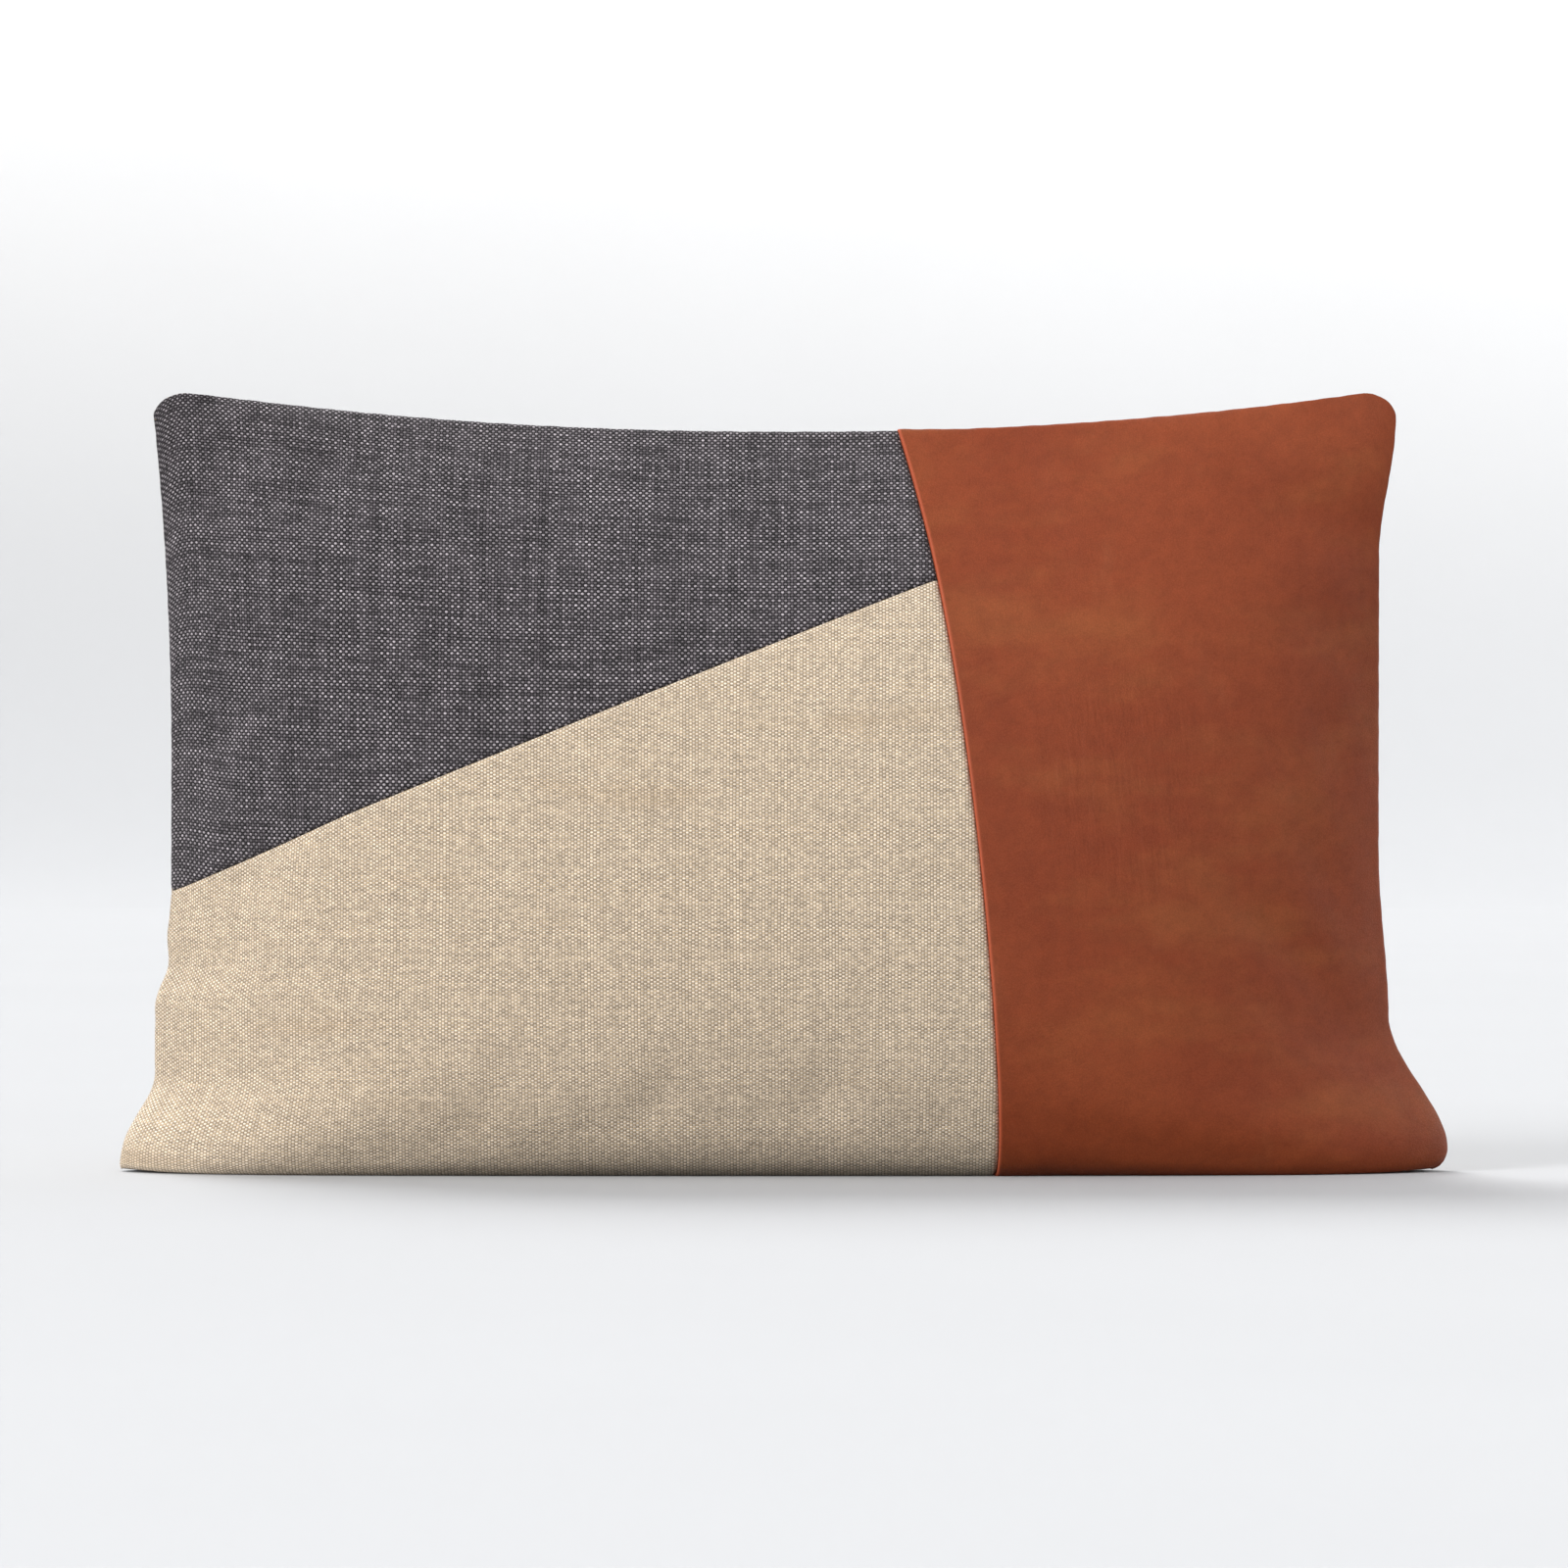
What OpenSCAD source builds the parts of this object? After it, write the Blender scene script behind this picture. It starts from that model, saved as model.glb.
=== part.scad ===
// Lumbar throw pillow: a pieced zip cover over a stuffed insert.
// It stands on its long bottom seam. X runs along the width, -Y is the
// front, +Z is up, and the origin is under the middle of the base.
// All sizes are in millimetres.

/* [Cover] */
// Width across the two bottom corners
cover_w = 500; // [400:5:640]
// Height of the middle of the top edge
cover_h = 280; // [220:2:380]
// Depth from the front crown to the back crown
cover_d = 113; // [80:1:150]
// How far each side pulls in from its bottom corner
side_pull = 21; // [8:1:32]
// How far each top corner stands inside the bottom corner
top_pull = 12; // [4:1:24]
// How far the top corners rise above the middle of the top edge
corner_rise = 14; // [4:1:24]
// Radius of the top corners
corner_r = 13; // [6:1:20]
// Thickness of the cover cloth and of the leather
cloth_t = 1.2; // [0.8:0.1:1.6]

/* [Base] */
// Gap between the two strips that the pillow rests on
foot_gap = 40; // [34:1:56]
// Width of each resting strip
foot_w = 16; // [8:1:24]
// Height of the closed bottom seam above the resting strips
seam_lift = 6.3; // [5.8:0.1:9]

/* [Front piecing] */
// Leather edge at the top seam, from the middle
leather_top_x = 42; // [20:1:70]
// Leather edge's pull towards the side half way down
leather_bow_x = 90; // [60:1:120]
// Leather edge at the bottom seam, from the middle
leather_foot_x = 76; // [40:1:110]
// Height of the charcoal seam at the left side
diagonal_left_z = 107; // [70:1:150]
// Slope of the charcoal seam in degrees
diagonal_slope = 22; // [14:1:28]

/* [Zip] */
// Length of the zip between its stops
zip_len = 360; // [240:5:370]
// Width of each zip tape, beside its coil
tape_w = 10; // [8:0.5:12]
// Thickness of each zip tape
tape_t = 0.5; // [0.3:0.1:0.6]
// Width of one coil
coil_w = 2; // [1.6:0.1:2.4]
// Height of the coils
coil_t = 2; // [1.6:0.1:2.4]
// Length of the slider
slider_l = 10; // [8:0.5:12]
// Thickness of the slider's two plates
plate_t = 0.9; // [0.7:0.1:1.1]
// Width of the slider's bridge, which passes between the lips
bridge_w = 2.4; // [1.8:0.1:2.6]
// Length of the pull tab from its pivot
tab_l = 16; // [12:0.5:20]
// Thickness of the pull tab
tab_t = 1; // [0.8:0.1:1.1]
// Running clearance around the slider and the tab
run_gap = 0.3; // [0.2:0.05:0.4]

/* [Insert] */
// Thickness of the insert's casing cloth
casing_t = 0.6; // [0.4:0.1:0.9]
// Room between the cover and the insert
insert_gap = 2; // [1.5:0.1:3]
// How far the insert's edge lies inside the cover's seam
insert_edge = 14; // [13:0.5:20]

/* [Sewing] */
// Width of the overlocked seam allowance
allowance_w = 7; // [5:0.5:7]
// Thickness of a line of stitches
thread_t = 0.6; // [0.4:0.1:0.8]
// Width of the care label
label_w = 40; // [25:1:50]

/* [Hidden] */

// Driving shape values that follow from the sizes above
waist_half = cover_w/2 - side_pull;
top_flare = side_pull - top_pull;
belly = cover_d/2 - cloth_t;
foot_in = foot_gap/2;
foot_out = foot_in + foot_w;
corner_z = 1.2;            // height of the seam at the very corner
corner_fade = 22;          // how late along the width the base turns up to the corner
corner_lift = 0.6;         // an inner layer's bottom corners rise by this share of its inset
ear_height = 34;           // height over which a bottom corner draws in to the waist
ear_z = 4;                 // height of the tip of a bottom corner
ear_r = 4;                 // rounding under the tip
flare_start = 0.54;        // share of the height where the top flare begins
foot_dip = 0.3;            // the base is drawn this much low, then cut flat
heel_pull = 1.26;          // Bezier handle that swells the front above the base
crown_pull = 1.12;         // Bezier handle that holds the crown out
crown_z = 0.68;            // height of that handle as a share of the height
v_lip = 0.045;             // cloth share from the zip to the resting strip
v_foot = 0.095;            // cloth share from the zip to the strip's outer edge

// Zip stack, from the lips upwards
lip_w = foot_in*0.6;       // the folded lip stays level over this width
lip_top = seam_lift + cloth_t + 0.1;
plate_in = coil_t/2 + run_gap;
plate_out = plate_in + plate_t;
zip_z = lip_top + run_gap + plate_out;
slot_half = bridge_w/2 + run_gap + 0.7;
slot_end = zip_len/2 + 8;  // the lips stand apart up to here, and are sewn together past it
slot_fade = 10;
stop_l = 3;
tape_end = zip_len/2 + 14;

// Slider and pull tab
slider_x = zip_len/2 - slider_l/2 - run_gap;
flange_in = coil_w + 1.25;
slider_half = flange_in + 0.75;
pivot_r = tab_t*0.6;
pivot_z = seam_lift - pivot_r - run_gap/2 - 0.25;
window_half = 2.4;
bridge_wall = 1;

// The insert lies above the slider
insert_skin = cloth_t + insert_gap;
insert_floor = cloth_t + insert_gap*0.6;
insert_seam_z = zip_z + plate_out + 3;
fill_gap = 1;

// A layer of the pillow: [edge inset, skin inset, floor, bottom seam height, strip from, strip to]
COVER = [0, 0, -foot_dip, seam_lift, foot_in, foot_out];
INSERT = [insert_edge, insert_skin, insert_floor, insert_seam_z, foot_in + 6, foot_out - insert_gap];
FILL = [insert_edge + 2*casing_t + 2*fill_gap, insert_skin + casing_t + fill_gap,
        insert_floor + casing_t + 2*fill_gap, insert_seam_z + 2*casing_t + fill_gap,
        foot_in + 7, foot_out - insert_gap - casing_t];
TAG = [insert_edge - 2, cloth_t + insert_gap*0.45, insert_floor, insert_seam_z,
       foot_in + 6, foot_out - insert_gap];

// ---- small helpers
function mix(a, b, t) = a + (b - a)*t;
function clamp01(t) = min(1, max(0, t));
function smooth(t) = let (c = clamp01(t)) c*c*(3 - 2*c);
function bump(a, p, q) = pow(max(0, 1 - pow(abs(a), p)), q);
function unit(a) = a/norm(a);
function bezier(a, b, c, d, t) =
    a*pow(1 - t, 3) + 3*b*t*pow(1 - t, 2) + 3*c*t*t*(1 - t) + d*pow(t, 3);
function front_to_back(p) = [p[0], -p[1], p[2]];

// ---- the pillow's surface
// u runs from -1 at the left side seam to 1 at the right, v from 0 at the
// bottom seam to 1 at the top seam. Points are on the front, so y is negative.

// Depth (as a positive number) and height of the middle section at v
function section(v, layer) =
    v < v_lip
    ? let (y = layer[4]*v/v_lip)
      [y, mix(layer[3], layer[2], smooth((y - lip_w)/(layer[4] - lip_w)))]
    : v < v_foot
    ? [mix(layer[4], layer[5], (v - v_lip)/(v_foot - v_lip)), layer[2]]
    : let (d = belly - layer[1], top = cover_h - layer[0])
      bezier([layer[5], layer[2]], [heel_pull*d, layer[2]], [crown_pull*d, crown_z*top],
             [0, top], (v - v_foot)/(1 - v_foot));

// How far the side stands out from the waist at height z
function side_flare(z) =
    side_pull*exp(-pow(max(0, z - ear_z)/ear_height, 1.6))
    + top_flare*pow(max(0, z/cover_h - flare_start)/(1 - flare_start), 2)
    - ear_r*(1 - sqrt(1 - pow(clamp01(1 - z/ear_z), 2)*0.98));

// Height of the top edge at u
function top_edge(u, layer) =
    let (half = waist_half + top_flare, past = max(0, abs(u)*half - (half - corner_r)))
    cover_h - layer[0] + corner_rise*pow(abs(u), 2.2)
    - (corner_r - sqrt(corner_r*corner_r - past*past*0.98));

// How much of the depth is left at u: the base keeps its depth nearer to the sides
function depth_share(u, v) = mix(bump(u, 8, 0.6), bump(u, 2.6, 0.62), smooth((v - v_lip)/0.3));

// 0 where the lips of the bottom seam stand apart for the zip, 1 where they are sewn together
function sewn_shut(u) = smooth((abs(u)*waist_half - slot_end)/slot_fade);

function height_at(u, v, layer) =
    let (mid = section(v, layer)[1],
         top_mid = cover_h - layer[0],
         top = top_edge(u, layer),
         share = bump(u, corner_fade, 1),
         low = max(corner_z, layer[2] + corner_z + corner_lift*layer[0]),
         grown = mid*mix(1, top/top_mid, smooth(mid/top_mid)),
         at_side = low + (top - low)*(0.1*v + 0.9*max(0, mid)/top_mid))
    mix(at_side, grown, share);

function point(u, v, layer, edge_t, slot) =
    let (z = height_at(u, v, layer),
         half = waist_half - layer[0],
         off = v < v_lip ? mix(mix(slot, edge_t, sewn_shut(u)), edge_t, v/v_lip) : edge_t)
    [u*half + sign(u)*pow(abs(u), 5)*side_flare(z),
     -(off + depth_share(u, v)*section(v, layer)[0]),
     z];

function outward(u, v, layer, edge_t, slot) =
    let (h = 0.004,
         a = point(max(-1, u - h), v, layer, edge_t, slot),
         b = point(min(1, u + h), v, layer, edge_t, slot),
         c = point(u, max(0, v - h), layer, edge_t, slot),
         d = point(u, min(1, v + h), layer, edge_t, slot))
    unit(cross(b - a, d - c));

// The wrong side of the cloth. It meets the other panel in the seam, at y = 0.
function inside(u, v, layer, t, slot) =
    let (p = point(u, v, layer, t, slot))
    abs(u) > 0.9999 || v > 0.9999
    ? [p[0], 0, p[2]]
    : v < 0.0001
    ? let (shut = slot > t ? sewn_shut(u) : 1)
      [p[0], -mix(slot, 0, shut), p[2] + mix(t, 0, shut)]
    : let (q = p - t*outward(u, v, layer, t, slot))
      [q[0], min(-0.01, q[1]), max(q[2], layer[2] + t)];

// ---- closed solids from grids of points
function grid_faces(rows, cols, start, flip) = [
    for (i = [0:rows - 2], j = [0:cols - 2])
        let (a = start + i*cols + j, b = a + 1, c = a + cols, d = c + 1)
        each flip ? [[a, b, d], [a, d, c]] : [[a, d, b], [a, c, d]]
];
function rim(rows, cols) = concat(
    [for (j = [0:cols - 2]) j],
    [for (i = [0:rows - 2]) i*cols + cols - 1],
    [for (j = [cols - 1:-1:1]) (rows - 1)*cols + j],
    [for (i = [rows - 1:-1:1]) i*cols]
);
function wall_faces(ring, lift, flip) = [
    for (k = [0:len(ring) - 1])
        let (a = ring[k], b = ring[(k + 1) % len(ring)])
        each flip ? [[a, a + lift, b], [b, a + lift, b + lift]]
                  : [[a, b, a + lift], [b, b + lift, a + lift]]
];
function flat_list(grid) = [for (row = grid) each row];

// A sheet between two grids of the same size
module sheet(outer, inner, flip = false) {
    rows = len(outer);
    cols = len(outer[0]);
    count = rows*cols;
    polyhedron(
        concat(flat_list(outer), flat_list(inner)),
        concat(grid_faces(rows, cols, 0, flip), grid_faces(rows, cols, count, !flip),
               wall_faces(rim(rows, cols), count, flip)));
}

// A thin tube of stitches along a list of points
function ring_at(path, k, r, sides) =
    let (a = path[max(0, k - 1)], b = path[min(len(path) - 1, k + 1)],
         t = unit(b - a), n = unit(cross(t, [0, 1, 0])), m = cross(t, n))
    [for (i = [0:sides - 1]) path[k] + r*(cos(360*i/sides)*n + sin(360*i/sides)*m)];
module tube(path, r, sides = 6) {
    last = (len(path) - 1)*sides;
    polyhedron(
        [for (k = [0:len(path) - 1]) each ring_at(path, k, r, sides)],
        concat(
            [[for (i = [0:sides - 1]) i]],
            [[for (i = [sides - 1:-1:0]) last + i]],
            [for (k = [0:len(path) - 2], i = [0:sides - 1])
                let (a = k*sides + i, b = k*sides + (i + 1) % sides)
                each [[a, a + sides, b], [b, a + sides, b + sides]]]));
}

// ---- where the front pieces meet
function leather_u(v) =
    (leather_top_x*v*v + 2*leather_bow_x*v*(1 - v) + leather_foot_x*pow(1 - v, 2))/waist_half;
function above_diagonal(p) =
    p[2] - diagonal_left_z - (p[0] + waist_half)*tan(diagonal_slope);
function cover_point(u, v) = point(u, v, COVER, cloth_t, slot_half);
function find_seam_v(u, low = v_foot, high = 1, steps = 24) =
    steps == 0 ? (low + high)/2
    : let (mid = (low + high)/2)
      above_diagonal(cover_point(u, mid)) > 0
      ? find_seam_v(u, low, mid, steps - 1) : find_seam_v(u, mid, high, steps - 1);
function find_join_v(low = v_foot, high = 1, steps = 24) =
    steps == 0 ? (low + high)/2
    : let (mid = (low + high)/2)
      above_diagonal(cover_point(leather_u(mid), mid)) > 0
      ? find_join_v(low, mid, steps - 1) : find_join_v(mid, high, steps - 1);
join_v = find_join_v();
join_u = leather_u(join_v);

// Steps along the cloth: the zip lip and the resting strip have rows of their own
LOW_ROWS = [for (i = [0:5]) v_lip*i/5];
low_count = len(LOW_ROWS) + 1;
CANVAS_STEPS = [for (i = [1:9]) i/9];
CHARCOAL_STEPS = [for (i = [0:7]) sin(90*i/7)];
SIDE_STEPS = [for (i = [0:14]) 1 - cos(90*i/14)];
BACK_U = [for (i = [-13:13]) sin(90*i/13)];
BACK_V = concat(LOW_ROWS, [v_foot], [for (i = [1:16]) mix(v_foot, 1, i/16)]);
INSERT_U = [for (i = [-10:10]) sin(90*i/10)];
INSERT_V = concat([for (i = [0:3]) v_lip*i/3], [v_foot], [for (i = [1:14]) mix(v_foot, 1, i/14)]);

function canvas_uv(s, k) =
    let (top = find_seam_v(mix(-1, join_u, s)),
         step = k < low_count ? 0 : CANVAS_STEPS[k - low_count],
         v = k < len(LOW_ROWS) ? LOW_ROWS[k] : mix(v_foot, s > 0.9999 ? join_v : top, step),
         v_end = k < len(LOW_ROWS) ? LOW_ROWS[k] : mix(v_foot, join_v, step))
    [mix(-1, leather_u(v_end), s), v];
function charcoal_uv(s, m) =
    let (low = s > 0.9999 ? join_v : find_seam_v(mix(-1, join_u, s)),
         step = CHARCOAL_STEPS[m])
    [mix(-1, leather_u(mix(join_v, 1, step)), s), mix(low, 1, step)];
LEATHER_V = concat(LOW_ROWS, [v_foot], [for (t = CANVAS_STEPS) mix(v_foot, join_v, t)],
                   [for (m = [1:len(CHARCOAL_STEPS) - 1]) mix(join_v, 1, CHARCOAL_STEPS[m])]);

// ---- front and back panels
module cover_sheet(uv, back = false) {
    outer = [for (row = uv) [for (q = row) cover_point(q[0], q[1])]];
    inner = [for (row = uv) [for (q = row) inside(q[0], q[1], COVER, cloth_t, slot_half)]];
    difference() {
        if (back)
            sheet([for (row = outer) [for (p = row) front_to_back(p)]],
                  [for (row = inner) [for (p = row) front_to_back(p)]], true);
        else
            sheet(outer, inner);
        translate([-cover_w, -cover_d, -5])
            cube([2*cover_w, 2*cover_d, 5]);
    }
}

module front_panel_charcoal() {
    color([0.30, 0.28, 0.30])
        cover_sheet([for (s = SIDE_STEPS) [for (m = [0:len(CHARCOAL_STEPS) - 1]) charcoal_uv(s, m)]]);
}

module front_panel_canvas() {
    rows = low_count + len(CANVAS_STEPS);
    color([0.82, 0.76, 0.66])
        cover_sheet([for (s = SIDE_STEPS) [for (k = [0:rows - 1]) canvas_uv(s, k)]]);
}

module front_panel_leather() {
    color([0.58, 0.27, 0.16])
        cover_sheet([for (i = [0:12]) [for (v = LEATHER_V) [mix(leather_u(v), 1, sin(90*i/12)), v]]]);
}

module back_panel() {
    color([0.80, 0.74, 0.64])
        cover_sheet([for (u = BACK_U) [for (v = BACK_V) [u, v]]], true);
}

// ---- sewing
thread_in = cloth_t + thread_t/2 + 0.7;
function under_cloth(u, v) =
    cover_point(u, v) - thread_in*outward(u, v, COVER, cloth_t, slot_half);

// Each line of stitches stops short of the seams that it would run into
module diagonal_seam_thread() {
    u_from = -0.93;
    u_to = join_u - 0.02;
    count = 17;
    color([0.25, 0.24, 0.26])
        tube([for (i = [0:count]) let (u = mix(u_from, u_to, i/count))
            under_cloth(u, find_seam_v(u))], thread_t/2);
}

module leather_seam_thread() {
    v_from = v_foot*1.9;
    v_to = 0.94;
    count = 24;
    color([0.45, 0.22, 0.14])
        tube([for (i = [0:count]) let (v = mix(v_from, v_to, i/count))
            under_cloth(leather_u(v), v)], thread_t/2);
}

// Lines along the side and top seams, a given distance inside them
function seam_point(inset, u, v) =
    let (p = point(u, v, [inset, 0, 0, seam_lift, foot_in, foot_out], 0, 0))
    [p[0], 0, p[2]];
function side_line(inset, side, v_from, v_to, count) =
    [for (i = [0:count]) seam_point(inset, side, mix(v_from, v_to, i/count))];
function top_line(inset, u_end, count) =
    [for (i = [0:count]) seam_point(inset, mix(-u_end, u_end, i/count), 1)];
module seam_stitches(inset, v_from, v_to, u_end, r) {
    side_count = 12;
    top_count = 30;
    for (side = [-1, 1])
        tube(side_line(inset, side, v_from, v_to, side_count), r);
    tube(top_line(inset, u_end, top_count), r);
}

module perimeter_seam_thread() {
    seam_inset = 2.2;
    color([0.75, 0.70, 0.62])
        seam_stitches(seam_inset, 0.16, 0.985, 0.93, thread_t/2);
}

// Two seam allowances bound together by overlock stitches, clipped at the corners
module allowance_strip(near, far) {
    allowance_t = 2;
    rotate([90, 0, 0])
        linear_extrude(allowance_t, center = true)
            polygon(concat([for (p = near) [p[0], p[2]]],
                           [for (i = [len(far) - 1:-1:0]) [far[i][0], far[i][2]]]));
}
module overlocked_allowance() {
    near = 5;
    far = near + allowance_w;
    v_low = 0.25;
    v_high = 0.88;
    u_end = 0.83;
    color([0.86, 0.82, 0.74]) {
        for (side = [-1, 1])
            allowance_strip(side_line(near, side, v_low, v_high, 12),
                            side_line(far, side, v_low, v_high, 12));
        allowance_strip(top_line(near, u_end, 20), top_line(far, u_end, 20));
    }
}

// ---- zip
// Each half is drawn for the back, at positive y, and mirrored for the front
module along_zip(x_from, x_to) {
    translate([x_from, 0, 0])
        rotate([90, 0, 90])
            linear_extrude(x_to - x_from)
                children();
}

// Each tape starts at its coil, steps down past the slider and lies on the lip
tape_in = coil_w;
tape_bend = slider_half + run_gap + 0.3;
tape_flat = tape_bend + 1.2;
tape_out = tape_in + tape_w;
module zip_tape() {
    mid = zip_z - tape_t/2;
    along_zip(-tape_end, tape_end)
        polygon([
            [tape_in, mid], [tape_bend, mid], [tape_flat, lip_top], [tape_out, lip_top],
            [tape_out, lip_top + tape_t], [tape_flat, lip_top + tape_t],
            [tape_bend, mid + tape_t], [tape_in, mid + tape_t]
        ]);
}
module zip_tape_front() {
    color([0.72, 0.66, 0.56]) mirror([0, 1, 0]) zip_tape();
}
module zip_tape_back() {
    color([0.72, 0.66, 0.56]) zip_tape();
}

// The closed coil runs from the bottom stop into the slider
module zip_coil() {
    along_zip(-zip_len/2, slider_x + slider_l*0.1)
        translate([0, zip_z - coil_t/2])
            square([coil_w, coil_t]);
}
module zip_coil_front() {
    color([0.68, 0.62, 0.52]) mirror([0, 1, 0]) zip_coil();
}
module zip_coil_back() {
    color([0.68, 0.62, 0.52]) zip_coil();
}

stop_t = coil_t + 0.6;
stop_w = coil_w + 1;
module stop_block(x_from, y_from) {
    difference() {
        translate([x_from, y_from, zip_z - stop_t/2])
            cube([stop_l, stop_w - y_from, stop_t]);
        translate([x_from - 1, tape_in, zip_z - tape_t/2])
            cube([stop_l + 2, stop_w, tape_t]);
    }
}
module zip_top_stops() {
    color([0.72, 0.72, 0.70])
        for (front = [0, 1])
            mirror([0, front, 0])
                stop_block(zip_len/2, 1);
}
module zip_bottom_stop() {
    color([0.72, 0.72, 0.70]) {
        stop_block(-zip_len/2 - stop_l, 0);
        mirror([0, 1, 0])
            stop_block(-zip_len/2 - stop_l, 0);
    }
}

// A line of stitches above the tape and one under the folded lip
module zip_stitching() {
    end = zip_len/2 - 4;
    y = (tape_flat + tape_out)/2;
    for (z = [lip_top + tape_t, seam_lift - thread_t/2 - 0.15])
        translate([-end, y - thread_t/2, z])
            cube([2*end, thread_t, thread_t/2]);
}
module zip_stitching_front() {
    color([0.80, 0.75, 0.66]) mirror([0, 1, 0]) zip_stitching();
}
module zip_stitching_back() {
    color([0.80, 0.75, 0.66]) zip_stitching();
}

// A block of stitches joins the tapes past each end of the zip
module zip_bartacks() {
    length = 3;
    half = tape_bend - 0.2;
    middle = zip_len/2 + stop_l + 2 + length/2;
    color([0.80, 0.75, 0.66])
        for (side = [-1, 1])
            translate([side*middle - length/2, -half, zip_z + tape_t/2])
                cube([length, 2*half, 0.5]);
}

// Slider: two plates, a diamond between them, flanges and a bridge underneath
module slider_outline() {
    end = slider_l/2;
    rear = slider_half - 0.8;
    chamfer = 1;
    polygon([
        [-end, chamfer - rear], [chamfer - end, -rear], [0, -slider_half],
        [end - chamfer, -slider_half], [end, chamfer - slider_half],
        [end, slider_half - chamfer], [end - chamfer, slider_half],
        [0, slider_half], [chamfer - end, rear], [-end, rear - chamfer]
    ]);
}
module slider_channel() {
    rear_in = coil_w + run_gap;
    polygon([
        [-slider_l, -rear_in], [-slider_l/4, -rear_in], [slider_l/4, -flange_in],
        [slider_l, -flange_in], [slider_l, flange_in], [slider_l/4, flange_in],
        [-slider_l/4, rear_in], [-slider_l, rear_in]
    ]);
}
module slider_bridge() {
    top = -plate_out;
    window_low = pivot_z - zip_z - pivot_r - run_gap;
    low = window_low - bridge_wall;
    outer = window_half + bridge_wall;
    chamfer = 1;
    into_plate = 0.2;
    rotate([90, 0, 0])
        linear_extrude(bridge_w, center = true)
            difference() {
                polygon([[-outer, top + into_plate], [-outer, low + chamfer], [chamfer - outer, low],
                         [outer - chamfer, low], [outer, low + chamfer], [outer, top + into_plate]]);
                translate([-window_half, window_low])
                    square([2*window_half, top - window_low]);
            }
}
module slider_diamond() {
    half = 0.8;
    front = slider_l/2 - 0.1;
    into_plate = 0.1;
    translate([0, 0, -plate_in - into_plate])
        linear_extrude(2*(plate_in + into_plate))
            polygon([[slider_l*0.16, 0], [slider_l*0.3, -half], [front, -half],
                     [front, half], [slider_l*0.3, half]]);
}
module zip_slider_body() {
    color([0.74, 0.74, 0.72])
        translate([slider_x, 0, zip_z]) {
            difference() {
                translate([0, 0, -plate_out])
                    linear_extrude(2*plate_out)
                        slider_outline();
                translate([0, 0, -plate_in])
                    linear_extrude(2*plate_in)
                        slider_channel();
                translate([-slider_l, -cover_d/4, -tape_t/2 - run_gap])
                    cube([2*slider_l, cover_d/2, tape_t + 2*run_gap]);
            }
            slider_diamond();
            slider_bridge();
        }
}

// Pull tab: a crossbar in the bridge's window, two arms and a plate with a round end
module zip_pull_tab() {
    arm_in = bridge_w/2 + run_gap;
    arm_w = 1;
    half = arm_in + arm_w;
    reach = window_half + bridge_wall + 1.4;
    into_plate = 0.5;
    grip_r = 1.1;
    color([0.70, 0.70, 0.68])
        translate([slider_x, 0, pivot_z]) {
            rotate([90, 0, 0])
                cylinder(r = pivot_r, h = 2*half, center = true, $fn = 32);
            difference() {
                union() {
                    for (side = [-1, 1])
                        translate([-reach - into_plate, side*(half - arm_w/2) - arm_w/2, -tab_t/2])
                            cube([reach + into_plate, arm_w, tab_t]);
                    translate([half - tab_l, -half, -tab_t/2])
                        cube([tab_l - half - reach, 2*half, tab_t]);
                    translate([half - tab_l, 0, -tab_t/2])
                        cylinder(r = half, h = tab_t, $fn = 48);
                }
                translate([half - tab_l, 0, -tab_t])
                    cylinder(r = grip_r, h = 2*tab_t, $fn = 32);
            }
        }
}

// ---- labels: both are blank
// The care label is a folded ribbon, caught in the stitches of the back tape
module care_label() {
    deep = 9;
    ribbon_t = 0.35;
    fold_gap = 0.1;
    color([0.94, 0.93, 0.90])
        translate([-zip_len/4, tape_flat + 0.4, lip_top + tape_t + thread_t/2]) {
            cube([label_w, deep, ribbon_t]);
            translate([0, deep - ribbon_t, 0])
                cube([label_w, ribbon_t, 2*ribbon_t + fold_gap]);
            translate([0, 0, ribbon_t + fold_gap])
                cube([label_w, deep, ribbon_t]);
        }
}

// A small patch on the back of the insert
module insert_tag() {
    us = [for (i = [0:4]) mix(0.50, 0.62, i/4)];
    vs = [for (i = [0:5]) mix(0.40, 0.58, i/5)];
    thin = 0.3;
    outer = [for (u = us) [for (v = vs) point(u, v, TAG, 0, 0)]];
    inner = [for (u = us) [for (v = vs)
        point(u, v, TAG, 0, 0) - thin*outward(u, v, TAG, 0, 0)]];
    color([0.95, 0.94, 0.92])
        sheet([for (row = outer) [for (p = row) front_to_back(p)]],
              [for (row = inner) [for (p = row) front_to_back(p)]], true);
}

// ---- insert
module casing(back) {
    outer = [for (u = INSERT_U) [for (v = INSERT_V) point(u, v, INSERT, casing_t, casing_t)]];
    inner = [for (u = INSERT_U) [for (v = INSERT_V) inside(u, v, INSERT, casing_t, casing_t)]];
    if (back)
        sheet([for (row = outer) [for (p = row) front_to_back(p)]],
              [for (row = inner) [for (p = row) front_to_back(p)]], true);
    else
        sheet(outer, inner);
}
module insert_casing_front() {
    color([0.96, 0.96, 0.95]) casing(false);
}
module insert_casing_back() {
    color([0.96, 0.96, 0.95]) casing(true);
}

// The insert's overlock stitches run just outside its edge
module insert_seam_thread() {
    inset = insert_edge - 0.5;
    color([0.92, 0.92, 0.90])
        seam_stitches(inset, 0.24, 0.95, 0.86, 0.25);
}

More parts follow.
